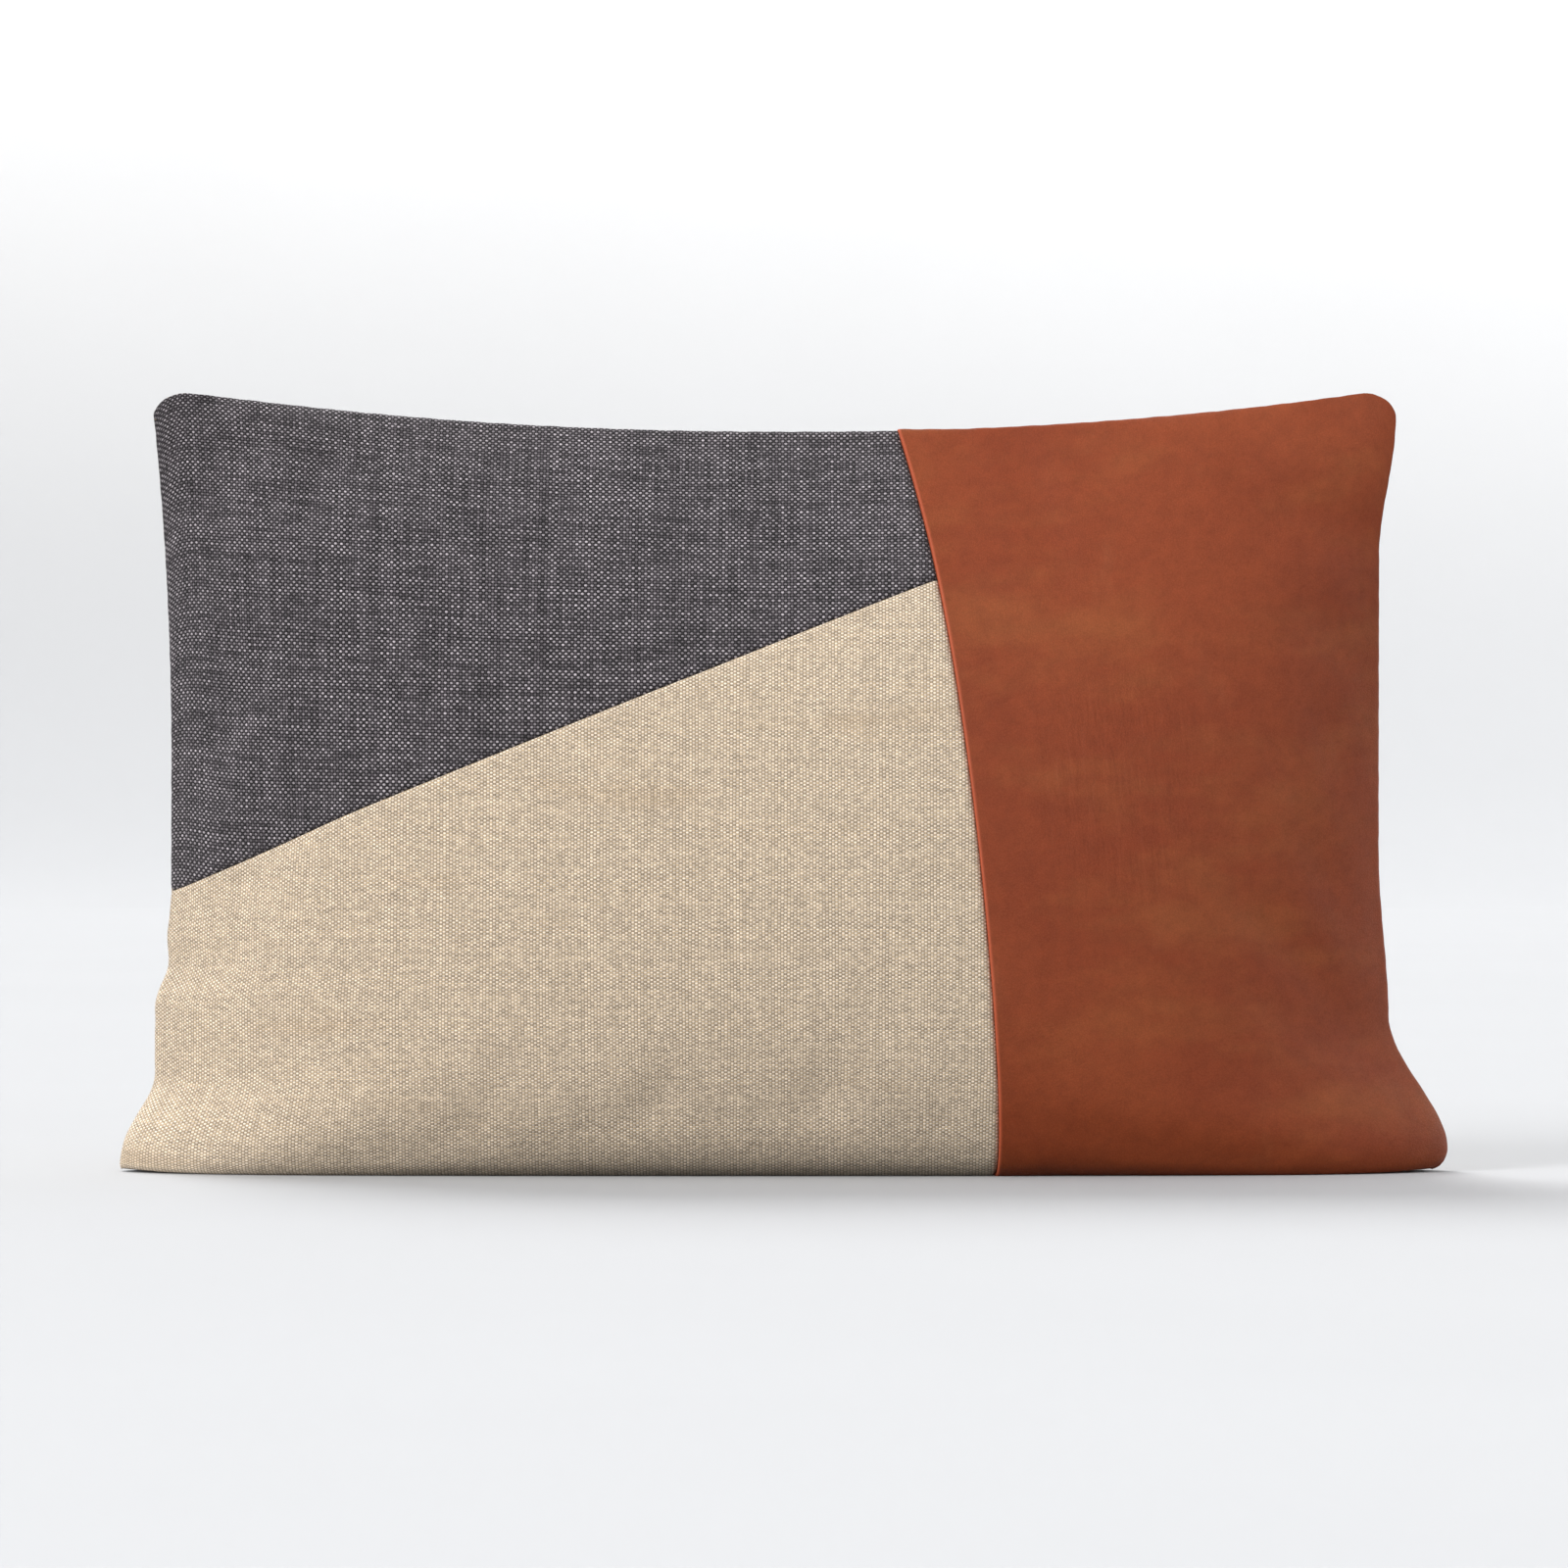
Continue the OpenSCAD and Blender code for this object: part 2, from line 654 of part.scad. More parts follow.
// The insert is closed by hand in the middle of its bottom seam
module insert_closing_stitches() {
    stitch_l = 4;
    pitch = 7;
    each_side = 8;
    color([0.92, 0.92, 0.90])
        for (i = [-each_side:each_side])
            translate([i*pitch - stitch_l/2, -0.4, insert_seam_z - 0.7])
                cube([stitch_l, 0.8, 0.5]);
}

module insert_fibre_fill() {
    front = [for (u = INSERT_U) [for (v = INSERT_V) point(u, v, FILL, 0.3, 0.3)]];
    color([0.98, 0.98, 0.98])
        sheet(front, [for (row = front) [for (p = row) front_to_back(p)]]);
}

front_panel_charcoal();
front_panel_canvas();
front_panel_leather();
back_panel();
diagonal_seam_thread();
leather_seam_thread();
perimeter_seam_thread();
overlocked_allowance();
zip_tape_front();
zip_tape_back();
zip_coil_front();
zip_coil_back();
zip_top_stops();
zip_bottom_stop();
zip_stitching_front();
zip_stitching_back();
zip_bartacks();
zip_slider_body();
zip_pull_tab();
care_label();
insert_casing_front();
insert_casing_back();
insert_seam_thread();
insert_closing_stitches();
insert_fibre_fill();
insert_tag();
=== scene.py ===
import math

import bpy
import numpy as np
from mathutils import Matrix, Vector


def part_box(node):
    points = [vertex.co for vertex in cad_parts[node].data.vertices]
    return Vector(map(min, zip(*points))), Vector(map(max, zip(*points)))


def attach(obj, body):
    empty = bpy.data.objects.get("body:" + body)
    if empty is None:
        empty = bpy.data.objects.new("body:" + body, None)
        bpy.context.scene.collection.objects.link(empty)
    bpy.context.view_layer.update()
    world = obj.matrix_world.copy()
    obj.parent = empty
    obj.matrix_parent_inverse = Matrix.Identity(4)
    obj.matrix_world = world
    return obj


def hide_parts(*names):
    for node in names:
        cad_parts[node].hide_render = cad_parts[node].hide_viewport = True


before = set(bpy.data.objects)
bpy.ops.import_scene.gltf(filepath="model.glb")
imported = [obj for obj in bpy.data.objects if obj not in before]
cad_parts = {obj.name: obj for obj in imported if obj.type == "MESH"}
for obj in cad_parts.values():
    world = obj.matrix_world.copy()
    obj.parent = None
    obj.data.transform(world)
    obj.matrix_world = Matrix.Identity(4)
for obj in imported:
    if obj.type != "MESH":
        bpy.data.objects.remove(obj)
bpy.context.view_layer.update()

SCENE = bpy.context.scene
MM = 0.001

# ---- sizes, some of them read from the CAD parts
COIL_LOW, COIL_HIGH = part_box("zip_coil_back")
STITCH_LOW, STITCH_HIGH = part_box("zip_stitching_back")
CLOTH_T = 1.2 * MM
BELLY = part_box("back_panel")[1].y - CLOTH_T
HEIGHT = 280 * MM  # middle of the top edge
CORNER_RISE = 16.5 * MM  # how far the top corners rise above that
CORNER_R = 14 * MM
CORNER_X = 236 * MM  # half width that the top corners are rounded at
WAIST = 229 * MM  # half width that u = 1 stands for
SEAM_LIFT = 6.3 * MM  # height of the zip lips above the floor
SLOT_HALF = 2.2 * MM  # half the opening between the lips
LIPS_MEET = 0.08 * MM  # half the gap between the lips past the zip's ends
SLOT_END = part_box("zip_tape_back")[1].x - 6 * MM
SLOT_FADE = 10 * MM
FOOT_IN, FOOT_OUT = 20 * MM, 36 * MM
LIP_W = 12 * MM
V_LIP, V_FOOT = 0.045, 0.095
CORNER_Z = 0.6 * MM
CORNER_FADE = 22
CORNER_LIFT = 0.6
FRONT, BACK = -1, 1
SIDES = ((FRONT, "front"), (BACK, "back"))

# A layer: edge inset, skin inset, floor, bottom seam height, strip from, strip to
COVER = (0, 0, 0, SEAM_LIFT, FOOT_IN, FOOT_OUT)
INSERT = (14.6 * MM, 4 * MM, 3 * MM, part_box("insert_closing_stitches")[0].z, 26 * MM, 34 * MM)
FILL = (19 * MM, 6.5 * MM, 6.5 * MM, INSERT[3] + 3 * MM, 27 * MM, 33 * MM)


def smooth(t):
    t = np.clip(t, 0, 1)
    return t * t * (3 - 2 * t)


def mix(a, b, t):
    return a + (b - a) * t


def bump_curve(a, p, q):
    return np.maximum(0, 1 - np.abs(a) ** p) ** q


def gauss(x, middle, width):
    return np.exp(-(((x - middle) / width) ** 2))


def unit(vectors):
    length = np.linalg.norm(vectors, axis=-1, keepdims=True)
    return vectors / np.maximum(length, 1e-12)


def lengths_along(path):
    """The distance of each point of a path from its start."""
    return np.pad(np.cumsum(np.linalg.norm(np.diff(path, axis=0), axis=1)), (1, 0))


def on_rim(u, v):
    """Where a grid lies on the side or top seams."""
    return (np.abs(u) > 0.9999) | (v > 0.9999)


# ---- the pillow's surface: u from -1 at the left side seam to 1 at the right,
# v from 0 at the zip to 1 at the top seam
def section(v, layer):
    """Depth and height of the middle section."""
    inset, skin, floor, seam_z, strip_in, strip_out = layer
    lip_y = strip_in * v / V_LIP
    lip_z = mix(seam_z, floor, smooth((lip_y - LIP_W) / (strip_in - LIP_W)))
    foot_y = mix(strip_in, strip_out, (v - V_LIP) / (V_FOOT - V_LIP))
    t = np.clip((v - V_FOOT) / (1 - V_FOOT), 0, 1)
    deep, top = BELLY - skin, HEIGHT - inset
    heel, crown = 1.26 * deep, 1.12 * deep
    y = strip_out * (1 - t) ** 3 + 3 * heel * t * (1 - t) ** 2 + 3 * crown * t * t * (1 - t)
    z = floor * ((1 - t) ** 3 + 3 * t * (1 - t) ** 2) + 3 * 0.68 * top * t * t * (1 - t) + top * t**3
    depth = np.where(v < V_LIP, lip_y, np.where(v < V_FOOT, foot_y, y))
    height = np.where(v < V_LIP, lip_z, np.where(v < V_FOOT, floor, z))
    return depth, height


def corner_round(share):
    """How far a quarter circle falls back at a share of its radius: 0 from a share of 1 on."""
    return 1 - np.sqrt(1 - 0.98 * np.clip(1 - share, 0, 1) ** 2)


def left_side(z):
    """Half width at the left seam: a shallow waist, a soft step, two small waves and the corner."""
    top = 6.2 * MM * np.maximum(0, (z / HEIGHT - 0.54) / 0.46) ** 2
    step = 6.2 * MM * (1 - smooth((z - 62 * MM) / (20 * MM)))
    ear = 12.9 * MM * np.exp(-((np.maximum(0, z - 4 * MM) / (21.5 * MM)) ** 2.2))
    waves = 1.5 * MM * gauss(z, 88 * MM, 9 * MM) - 1.2 * MM * gauss(z, 33 * MM, 7 * MM)
    tip = 3 * MM * corner_round(z / (3 * MM))
    return 232.1 * MM + top + step + ear + waves - tip


def right_side(z):
    """Half width at the right seam: straight, with a flare above, a crease and a wide corner."""
    top = 6.4 * MM * smooth((z - 232 * MM) / (52 * MM))
    hip = 3.6 * MM * (1 - smooth((z - 58 * MM) / (62 * MM)))
    ear = 22.4 * MM * (1 - smooth((z - 8 * MM) / (51 * MM)))
    tip = 12 * MM * corner_round(z / (9 * MM))
    return 224.2 * MM + top + hip + ear - tip


def top_edge(u, layer):
    past = np.maximum(0, np.abs(u) * CORNER_X - (CORNER_X - CORNER_R))
    rounding = CORNER_R - np.sqrt(CORNER_R**2 - past**2 * 0.98)
    return HEIGHT - layer[0] + CORNER_RISE * np.abs(u) ** 2.2 - rounding


def depth_share(u, v):
    low = bump_curve(u, 8, 0.6)
    high = bump_curve(u, 2.6, 0.62)
    return mix(low, high, smooth((v - V_LIP) / 0.3))


def height_at(u, v, layer):
    middle = section(v, layer)[1]
    top_middle, top = HEIGHT - layer[0], top_edge(u, layer)
    low = np.maximum(CORNER_Z, layer[2] + CORNER_Z + CORNER_LIFT * layer[0])
    grown = middle * mix(1, top / top_middle, smooth(middle / top_middle))
    at_side = low + (top - low) * (0.04 * v + 0.96 * np.maximum(0, middle) / top_middle)
    return mix(at_side, grown, bump_curve(u, CORNER_FADE, 1))


def plain_point(u, v, side, layer=COVER, off=CLOTH_T, slot=SLOT_HALF):
    """Points of a layer as sewn, before the stuffing pushes it out."""
    z = height_at(u, v, layer)
    half = WAIST - layer[0]
    sewn = smooth((np.abs(u) * WAIST - SLOT_END) / SLOT_FADE)
    closed = LIPS_MEET if slot > off else off
    lip = mix(mix(slot, closed, sewn), off, v / V_LIP)
    off_here = np.where(v < V_LIP, lip, off)
    side_half = np.where(u < 0, left_side(z), right_side(z))
    x = u * half + np.sign(u) * np.abs(u) ** 5 * (side_half - WAIST)
    y = off_here + depth_share(u, v) * section(v, layer)[0]
    return np.stack([x, side * y, z], -1)


def seam_sway(u, v):
    """How far the side and top seams sway to the front or back of the middle plane."""
    sides = 1.6 * MM * np.sin(v * 11 + 1.2 * u) * np.abs(u) ** 24
    top = 1.8 * MM * np.sin(u * 7.5 + 0.6) * bump_curve(u, 6, 1) * v**24
    return (sides + top) * smooth((v - 0.2) / 0.2)


# ---- cloth simulation on a grid of (u, v)
GRID_U = 108
GRID_V = 62
FRAMES = 26
PUSH_CAP = 8 * MM  # how far the stuffing may move the cloth along the surface or outwards
DENT_CAP = 1.6 * MM  # how far it may sink in
HEEL_BULGE = 4.5 * MM


def drawn_in(a):
    """Even shares from -1 to 1, moved closer together near the side seams."""
    return 0.6 * a + 0.4 * np.sin(a * math.pi / 2)


FINE_A = np.linspace(-1, 1, 4001)
U_OF_FINE_A = drawn_in(FINE_A)
U_COLUMNS = drawn_in(np.linspace(-1, 1, GRID_U + 1))
V_ROWS = np.concatenate([[0, V_LIP / 2, V_LIP, (V_LIP + V_FOOT) / 2], np.linspace(V_FOOT, 1, GRID_V)])


def grid_quads(ids):
    """The quads between neighbours in a grid of vertex numbers."""
    return np.stack([ids[:-1, :-1], ids[1:, :-1], ids[1:, 1:], ids[:-1, 1:]], -1).reshape(-1, 4)


def ring_quads(ids):
    """The quads of a tube. Each row of the vertex numbers is one ring."""
    return grid_quads(np.hstack([ids, ids[:, :1]]))


def grid_normals(points, side):
    """Unit vectors out of a grid of points."""
    return unit(np.cross(np.gradient(points, axis=0), np.gradient(points, axis=1))) * -side


def build(name, points, faces, material=None, attributes=(), sharp=180):
    """A smooth object from points and faces. It is sharp where faces meet at a larger angle."""
    mesh = bpy.data.meshes.new(name)
    mesh.from_pydata(np.asarray(points).tolist(), [], faces)
    for key, values in attributes:
        values = np.asarray(values, np.float32).reshape(len(points), -1)
        kind, prop = ("FLOAT_VECTOR", "vector") if values.shape[1] == 3 else ("FLOAT", "value")
        mesh.attributes.new(key, kind, "POINT").data.foreach_set(prop, values.ravel())
    mesh.shade_smooth()
    if sharp < 180:
        mesh.set_sharp_from_angle(angle=math.radians(sharp))
    found = placed(name, mesh)
    if material:
        mesh.materials.append(material)
    return found


def placed(name, data):
    found = bpy.data.objects.new(name, data)
    SCENE.collection.objects.link(found)
    return found


def sewn_grid(u, v, side):
    """Grid points before the simulation, with both panels meeting along the sides and top."""
    p = plain_point(u, v, side)
    depth = side * p[..., 1] - CLOTH_T * smooth(np.maximum(np.abs(u) ** 8, v**8))
    p[..., 1] = np.where(on_rim(u, v), 0, side * np.maximum(depth, 0.5 * LIPS_MEET))
    p[..., 1] += seam_sway(u, v)
    return p


def closed_bag(front, back):
    """Vertices and faces of one closed bag: the panels share the side and top seams."""
    nu, nv = front.shape[:2]
    front_id = np.arange(nu * nv).reshape(nu, nv)
    back_id = front_id + nu * nv
    back_id[0, :], back_id[-1, :], back_id[:, -1] = front_id[0, :], front_id[-1, :], front_id[:, -1]
    mouth = np.stack([front_id[:-1, 0], back_id[:-1, 0], back_id[1:, 0], front_id[1:, 0]], -1)[1:-1]
    faces = np.concatenate([grid_quads(front_id), grid_quads(back_id)[:, ::-1], mouth])
    ends = [[front_id[0, 0], back_id[1, 0], front_id[1, 0]],
            [front_id[-1, 0], front_id[-2, 0], back_id[-2, 0]]]
    used = np.unique(np.concatenate([faces.ravel(), np.ravel(ends)]))
    renumber = np.zeros(2 * nu * nv, int)
    renumber[used] = np.arange(len(used))
    points = np.concatenate([front.reshape(-1, 3), back.reshape(-1, 3)])[used]
    faces = renumber[faces].tolist() + renumber[ends].tolist()
    return points, faces, renumber[front_id], renumber[back_id]


def inflate(points, faces, pinned):
    """Runs Blender's cloth with pressure on the bag and returns its points at the last frame."""
    bag = build("bag", points, faces)
    group = bag.vertex_groups.new(name="sewn")
    group.add(np.unique(pinned).tolist(), 1.0, "REPLACE")
    cloth = bag.modifiers.new("cloth", "CLOTH")
    s = cloth.settings
    s.quality = 7
    s.mass = 0.25
    s.tension_stiffness = s.compression_stiffness = 18
    s.shear_stiffness = 7
    s.bending_stiffness = 0.35
    s.tension_damping = s.compression_damping = s.shear_damping = 12
    s.bending_damping = 1
    s.air_damping = 3
    s.use_pressure = True
    s.uniform_pressure_force = 6
    s.shrink_min = -0.012
    s.vertex_group_mass = "sewn"
    s.effector_weights.gravity = 0
    cloth.collision_settings.use_collision = False
    cloth.collision_settings.use_self_collision = False
    cloth.point_cache.frame_start, cloth.point_cache.frame_end = 1, FRAMES
    for number in range(1, FRAMES + 1):
        SCENE.frame_set(number)
    shown = bag.evaluated_get(bpy.context.evaluated_depsgraph_get())
    found = np.empty(len(shown.data.vertices) * 3, np.float32)
    shown.data.vertices.foreach_get("co", found)
    bpy.data.meshes.remove(bag.data)  # and the bag with it
    SCENE.frame_set(1)
    return found.reshape(-1, 3).astype(float)


def pushed_out():
    """The move that the stuffing gives each grid point: arrays for the front and the back."""
    u, v = np.meshgrid(U_COLUMNS, V_ROWS, indexing="ij")
    grids = {side: sewn_grid(u, v, side) for side, _ in SIDES}
    found = {side: grids[side] - plain_point(u, v, side) + heel_bulge(u, v, side) for side in grids}
    points, faces, front_id, back_id = closed_bag(grids[FRONT], grids[BACK])
    held = on_rim(u, v) | (v < V_FOOT + 1e-6)
    moved = inflate(points, faces, np.concatenate([front_id[held], back_id[held]])) - points
    calm = mix(0.3, 1, smooth((v - V_FOOT) / 0.3))[..., None]
    for side, ids in ((FRONT, front_id), (BACK, back_id)):
        found[side] += calm * limited(evened(moved[ids]), grids[side], side)
    return found


def heel_bulge(u, v, side):
    """How far the stuffing rounds the cloth out just above the base."""
    bulge = HEEL_BULGE * gauss(v, 0.26, 0.1) * bump_curve(u, 6, 1) * smooth((v - V_FOOT) / 0.08)
    return np.stack([0 * u, side * bulge, 0 * u], -1)


def evened(move, rounds=2):
    """Evens out creases that are narrower than the grid can draw. The held edges stay at rest."""
    for _ in range(rounds):
        wide = move.copy()
        wide[1:-1] = (move[:-2] + 2 * move[1:-1] + move[2:]) / 4
        move = wide.copy()
        move[:, 1:-1] = (wide[:, :-2] + 2 * wide[:, 1:-1] + wide[:, 2:]) / 4
    return move


def limited(move, grid, side):
    """Keeps a simulated move within its caps, and the two panels apart where the bag is thin."""
    length = np.linalg.norm(move, axis=-1, keepdims=True)
    move = move * PUSH_CAP * np.tanh(length / PUSH_CAP) / np.maximum(length, 1e-9)
    out = grid_normals(grid, side)
    dent = np.minimum(DENT_CAP, 0.25 * np.abs(grid[..., 1]))
    sunk = np.maximum(0, -np.sum(move * out, -1))
    allowed = dent * np.tanh(sunk / np.maximum(dent, 1e-9))
    return move + out * (sunk - allowed)[..., None]


def cubic_weights(t):
    """Catmull-Rom weights of the four grid points round a place."""
    return np.stack([
        -0.5 * t + t**2 - 0.5 * t**3,
        1 - 2.5 * t**2 + 1.5 * t**3,
        0.5 * t + 2 * t**2 - 1.5 * t**3,
        -0.5 * t**2 + 0.5 * t**3,
    ], -1)


def sample_grid(field, u, v):
    """The grid's vectors at any (u, v)."""
    nu, nv = field.shape[:2]
    a = (np.interp(u, U_OF_FINE_A, FINE_A) + 1) / 2 * (nu - 1)
    b = np.interp(v, V_ROWS, np.arange(nv))
    i, j = np.clip(a.astype(int), 0, nu - 2), np.clip(b.astype(int), 0, nv - 2)
    wa, wb = cubic_weights(a - i), cubic_weights(b - j)
    total = np.zeros(u.shape + (3,))
    for p in range(4):
        for q in range(4):
            near = field[np.clip(i + p - 1, 0, nu - 1), np.clip(j + q - 1, 0, nv - 1)]
            total += (wa[..., p] * wb[..., q])[..., None] * near
    return total


PUSH = pushed_out()


def surface(u, v, side):
    """The stuffed cover's outer surface."""
    return plain_point(u, v, side) + sample_grid(PUSH[side], u, v)


def normals(u, v, side):
    """Unit vectors out of the surface. Near an edge they are taken just inside it."""
    h = 0.003
    u0, u1 = np.clip(u - h, -1, 1), np.clip(u + h, -1, 1)
    v0, v1 = np.clip(v - h, 0, 1), np.clip(v + h, 0, 1)
    du = surface(u1, v, side) - surface(u0, v, side)
    dv = surface(u, v1, side) - surface(u, v0, side)
    return unit(np.cross(du, dv)) * -side


# ---- the flat cloth: how far a point lies along the weave from the middle of the zip
TABLE = np.linspace(-1, 1, 801)
S_TABLE = lengths_along(plain_point(TABLE, np.full(801, 0.45), FRONT))
S_TABLE -= np.interp(0, TABLE, S_TABLE)
V_TABLE = np.linspace(0, 1, 801)
T_TABLE = lengths_along(plain_point(np.zeros(801), V_TABLE, FRONT))


def cloth_place(u, v):
    s, t = np.interp(u, TABLE, S_TABLE), np.interp(v, V_TABLE, T_TABLE)
    return np.stack([s, t, np.zeros_like(s)], -1)


# ---- where the front pieces meet
LEATHER_X = (42 * MM, 90 * MM, 76 * MM)  # at the top seam, the pull half way down, the bottom seam
DIAGONAL_Z = 107 * MM  # height of the charcoal seam at the left side
DIAGONAL_SLOPE = math.tan(math.radians(22))


def leather_u(v):
    top, bow, foot = LEATHER_X
    return (top * v * v + 2 * bow * v * (1 - v) + foot * (1 - v) ** 2) / WAIST


def diagonal_v(u, u_of_v=None):
    """v of the charcoal seam at u, by halving. u_of_v gives a u that changes with v instead."""
    low, high = np.full_like(u, V_FOOT), np.ones_like(u)
    for _ in range(26):
        middle = (low + high) / 2
        p = plain_point(u_of_v(middle) if u_of_v else u, middle, FRONT)
        above = p[..., 2] - DIAGONAL_Z - (p[..., 0] + WAIST) * DIAGONAL_SLOPE > 0
        high, low = np.where(above, middle, high), np.where(above, low, middle)
    return (low + high) / 2


JOIN_V = float(diagonal_v(np.zeros(()), leather_u))  # where the charcoal seam reaches the leather
JOIN_U = leather_u(JOIN_V)


# extra stations at these distances from a seam, where the cloth rolls in
ROLL = tuple(d * MM for d in (0.15, 0.35, 0.65, 1.0, 1.45, 2.0, 2.8, 3.9))
FOOT_V = np.concatenate([np.linspace(0, V_LIP, 15), np.linspace(V_LIP, V_FOOT, 6)[1:]])


def stations(count, length, near=ROLL):
    """Shares of a length from 0 to 1: even, with extra ones near its start and its end."""
    even = np.linspace(0, 1, count + 1)
    first = [d / length for d in near]
    last = [1 - d / length for d in ROLL]
    keep = (even > max(first, default=-1) * 1.25) & (even < 1 - (1 - min(last)) * 1.25)
    return np.unique(np.concatenate([[0, 1], even[keep], first, last]))


def columns(count, length):
    return stations(count, length)[:, None]


def rows(count, length):
    return stations(count, length, ())[None, 1:]


def from_zip(top, rise, s):
    """v of a panel's rows from the zip up to top, for each of its columns."""
    return np.concatenate([np.repeat(FOOT_V[None], len(s), 0), mix(V_FOOT, top, rise) + 0 * s], 1)


def canvas_uv():
    s, rise = columns(118, 0.31), rows(64, 0.16)
    v = from_zip(diagonal_v(mix(-1, JOIN_U, s)), rise, s)
    return mix(-1, leather_u(from_zip(JOIN_V, rise, s)), s), v


def charcoal_uv():
    s, rise = columns(118, 0.3), stations(60, 0.14)[None]
    v = mix(diagonal_v(mix(-1, JOIN_U, s)), 1, rise)
    return mix(-1, leather_u(mix(JOIN_V, 1, rise)), s), v


def leather_uv():
    s = columns(62, 0.17)
    v = from_zip(1, rows(108, 0.3), s)
    return mix(leather_u(v), 1, s), v


def back_uv():
    s = columns(170, 0.5)
    v = from_zip(1, rows(108, 0.3), s)
    return mix(-1, 1, s) + 0 * v, v


# ---- panels
SEAM_DEPTH = 1.3 * MM
SEAM_WIDTH = 2.6 * MM
UNDER_DEPTH = SEAM_DEPTH + 0.3 * MM  # the cloth that runs under the leather
UNDER_WIDTH = SEAM_WIDTH * 1.2
RIM_DEPTH = 1.6 * MM
RIM_WIDTH = 3.2 * MM
RIM_TAPER = 2.5 * MM
LEATHER_RAISE = 0.9 * MM
LEATHER_RAMP = 26 * MM
LEATHER_EDGE = 0.8 * MM
GATHER_DEPTH = 0.13 * MM
GATHER_PITCH = 9.5 * MM
GATHER_FADE = 5 * MM


def roll(distance, width):
    """1 at a seam and 0 from width on, along a quarter circle, as cloth turns into a seam."""
    x = np.clip(1 - distance / width, 0, 1)
    return 1 - np.sqrt(np.maximum(0, 1 - x * x))


def edge_distances(points):
    """Distances along the cloth from each side of a grid: left, right, bottom, top."""
    along = np.linalg.norm(np.diff(points, axis=0), axis=-1)
    up = np.linalg.norm(np.diff(points, axis=1), axis=-1)
    left = np.pad(np.cumsum(along, 0), ((1, 0), (0, 0)))
    low = np.pad(np.cumsum(up, 1), ((0, 0), (1, 0)))
    return left, left[-1:] - left, low, low[:, -1:] - low


def pucker(along):
    """Small uneven gathers of the cloth beside a line of stitches."""
    turn = along * 2 * math.pi / GATHER_PITCH
    return GATHER_DEPTH * (0.6 * np.sin(turn) + 0.4 * np.sin(turn / 1.71 + 1))


def shaped(u, v, side, kinds):
    """Outer and inner sheets of a panel. kinds names its left, right, bottom and top edges."""
    base = surface(u, v, side)
    out = normals(u, v, side)
    gaps = edge_distances(base)
    lift = np.zeros(u.shape)
    inward = np.zeros(base.shape)
    thick = np.full(u.shape, CLOTH_T)
    place = cloth_place(u, v)
    for kind, gap, axis, along in zip(kinds, gaps, (0, 0, 2, 2), (1, 1, 0, 0)):
        if kind == "sewn":
            lift -= SEAM_DEPTH * roll(gap, SEAM_WIDTH)
        elif kind == "under":
            lift -= UNDER_DEPTH * roll(gap, UNDER_WIDTH)
        elif kind == "cut":
            lift += LEATHER_RAISE * (1 - smooth(gap / LEATHER_RAMP) - roll(gap, LEATHER_EDGE))
        elif kind == "rim":
            middle = -np.sign(u) if axis == 0 else -np.ones_like(u)
            gather = pucker(place[..., along]) * np.exp(-gap / GATHER_FADE) * (gap > 0)
            inward[..., axis] += middle * (RIM_DEPTH * roll(gap, RIM_WIDTH) + gather)
            thick = thick * smooth(gap / RIM_TAPER)
    room = np.abs(base[..., 1] - seam_sway(u, v))
    thick = np.where(v > V_FOOT, np.minimum(thick, 0.45 * room), thick)
    lift = np.where(v > V_FOOT, np.maximum(lift, -0.5 * room), lift)
    outer = base + inward + out * lift[..., None]
    outer[..., 2] = np.maximum(outer[..., 2], 0)
    inner = outer - out * thick[..., None]
    at_seam = thick < 1e-9
    inner[at_seam] = outer[at_seam]
    inner[..., 2] = np.maximum(inner[..., 2], np.where(at_seam, -1, thick))
    return outer, inner, gaps, place


def solid_faces(nu, nv):
    """The quads of a closed body between two grids of points that follow each other."""
    ids = np.arange(nu * nv).reshape(nu, nv)
    quads = grid_quads(ids)
    ring = np.concatenate([ids[:-1, 0], ids[-1, :-1], ids[:0:-1, -1], ids[0, :0:-1]])
    after = np.roll(ring, -1)
    walls = np.stack([ring, ring + nu * nv, after + nu * nv, after], -1)
    return np.concatenate([quads, quads[:, ::-1] + nu * nv, walls])


def solid_sheet(name, outer, inner, side, material, attributes=()):
    """A closed mesh between two grids, with the grids' attributes on its points."""
    points = np.concatenate([outer.reshape(-1, 3), inner.reshape(-1, 3)])
    faces = solid_faces(*outer.shape[:2])
    if side == BACK:
        faces = faces[:, ::-1]
    doubled = [(key, np.stack([values, values])) for key, values in attributes]
    return build(name, points, faces.tolist(), material, doubled, sharp=50)


def make_panel(name, uv, side, kinds, material):
    outer, inner, gaps, place = shaped(*uv, side, kinds)
    cut_gaps = [("cut_gap", gap) for gap, kind in zip(gaps, kinds) if kind == "cut"]
    return solid_sheet(name, outer, inner, side, material, [("cloth", place), *cut_gaps])


# ---- material helper
def linear(*rgb):
    """A colour given as 0 to 255 steps of the screen, as the renderer's linear values."""
    parts = [c / 255 for c in rgb]
    return tuple(c / 12.92 if c <= 0.04045 else ((c + 0.055) / 1.055) ** 2.4 for c in parts) + (1,)


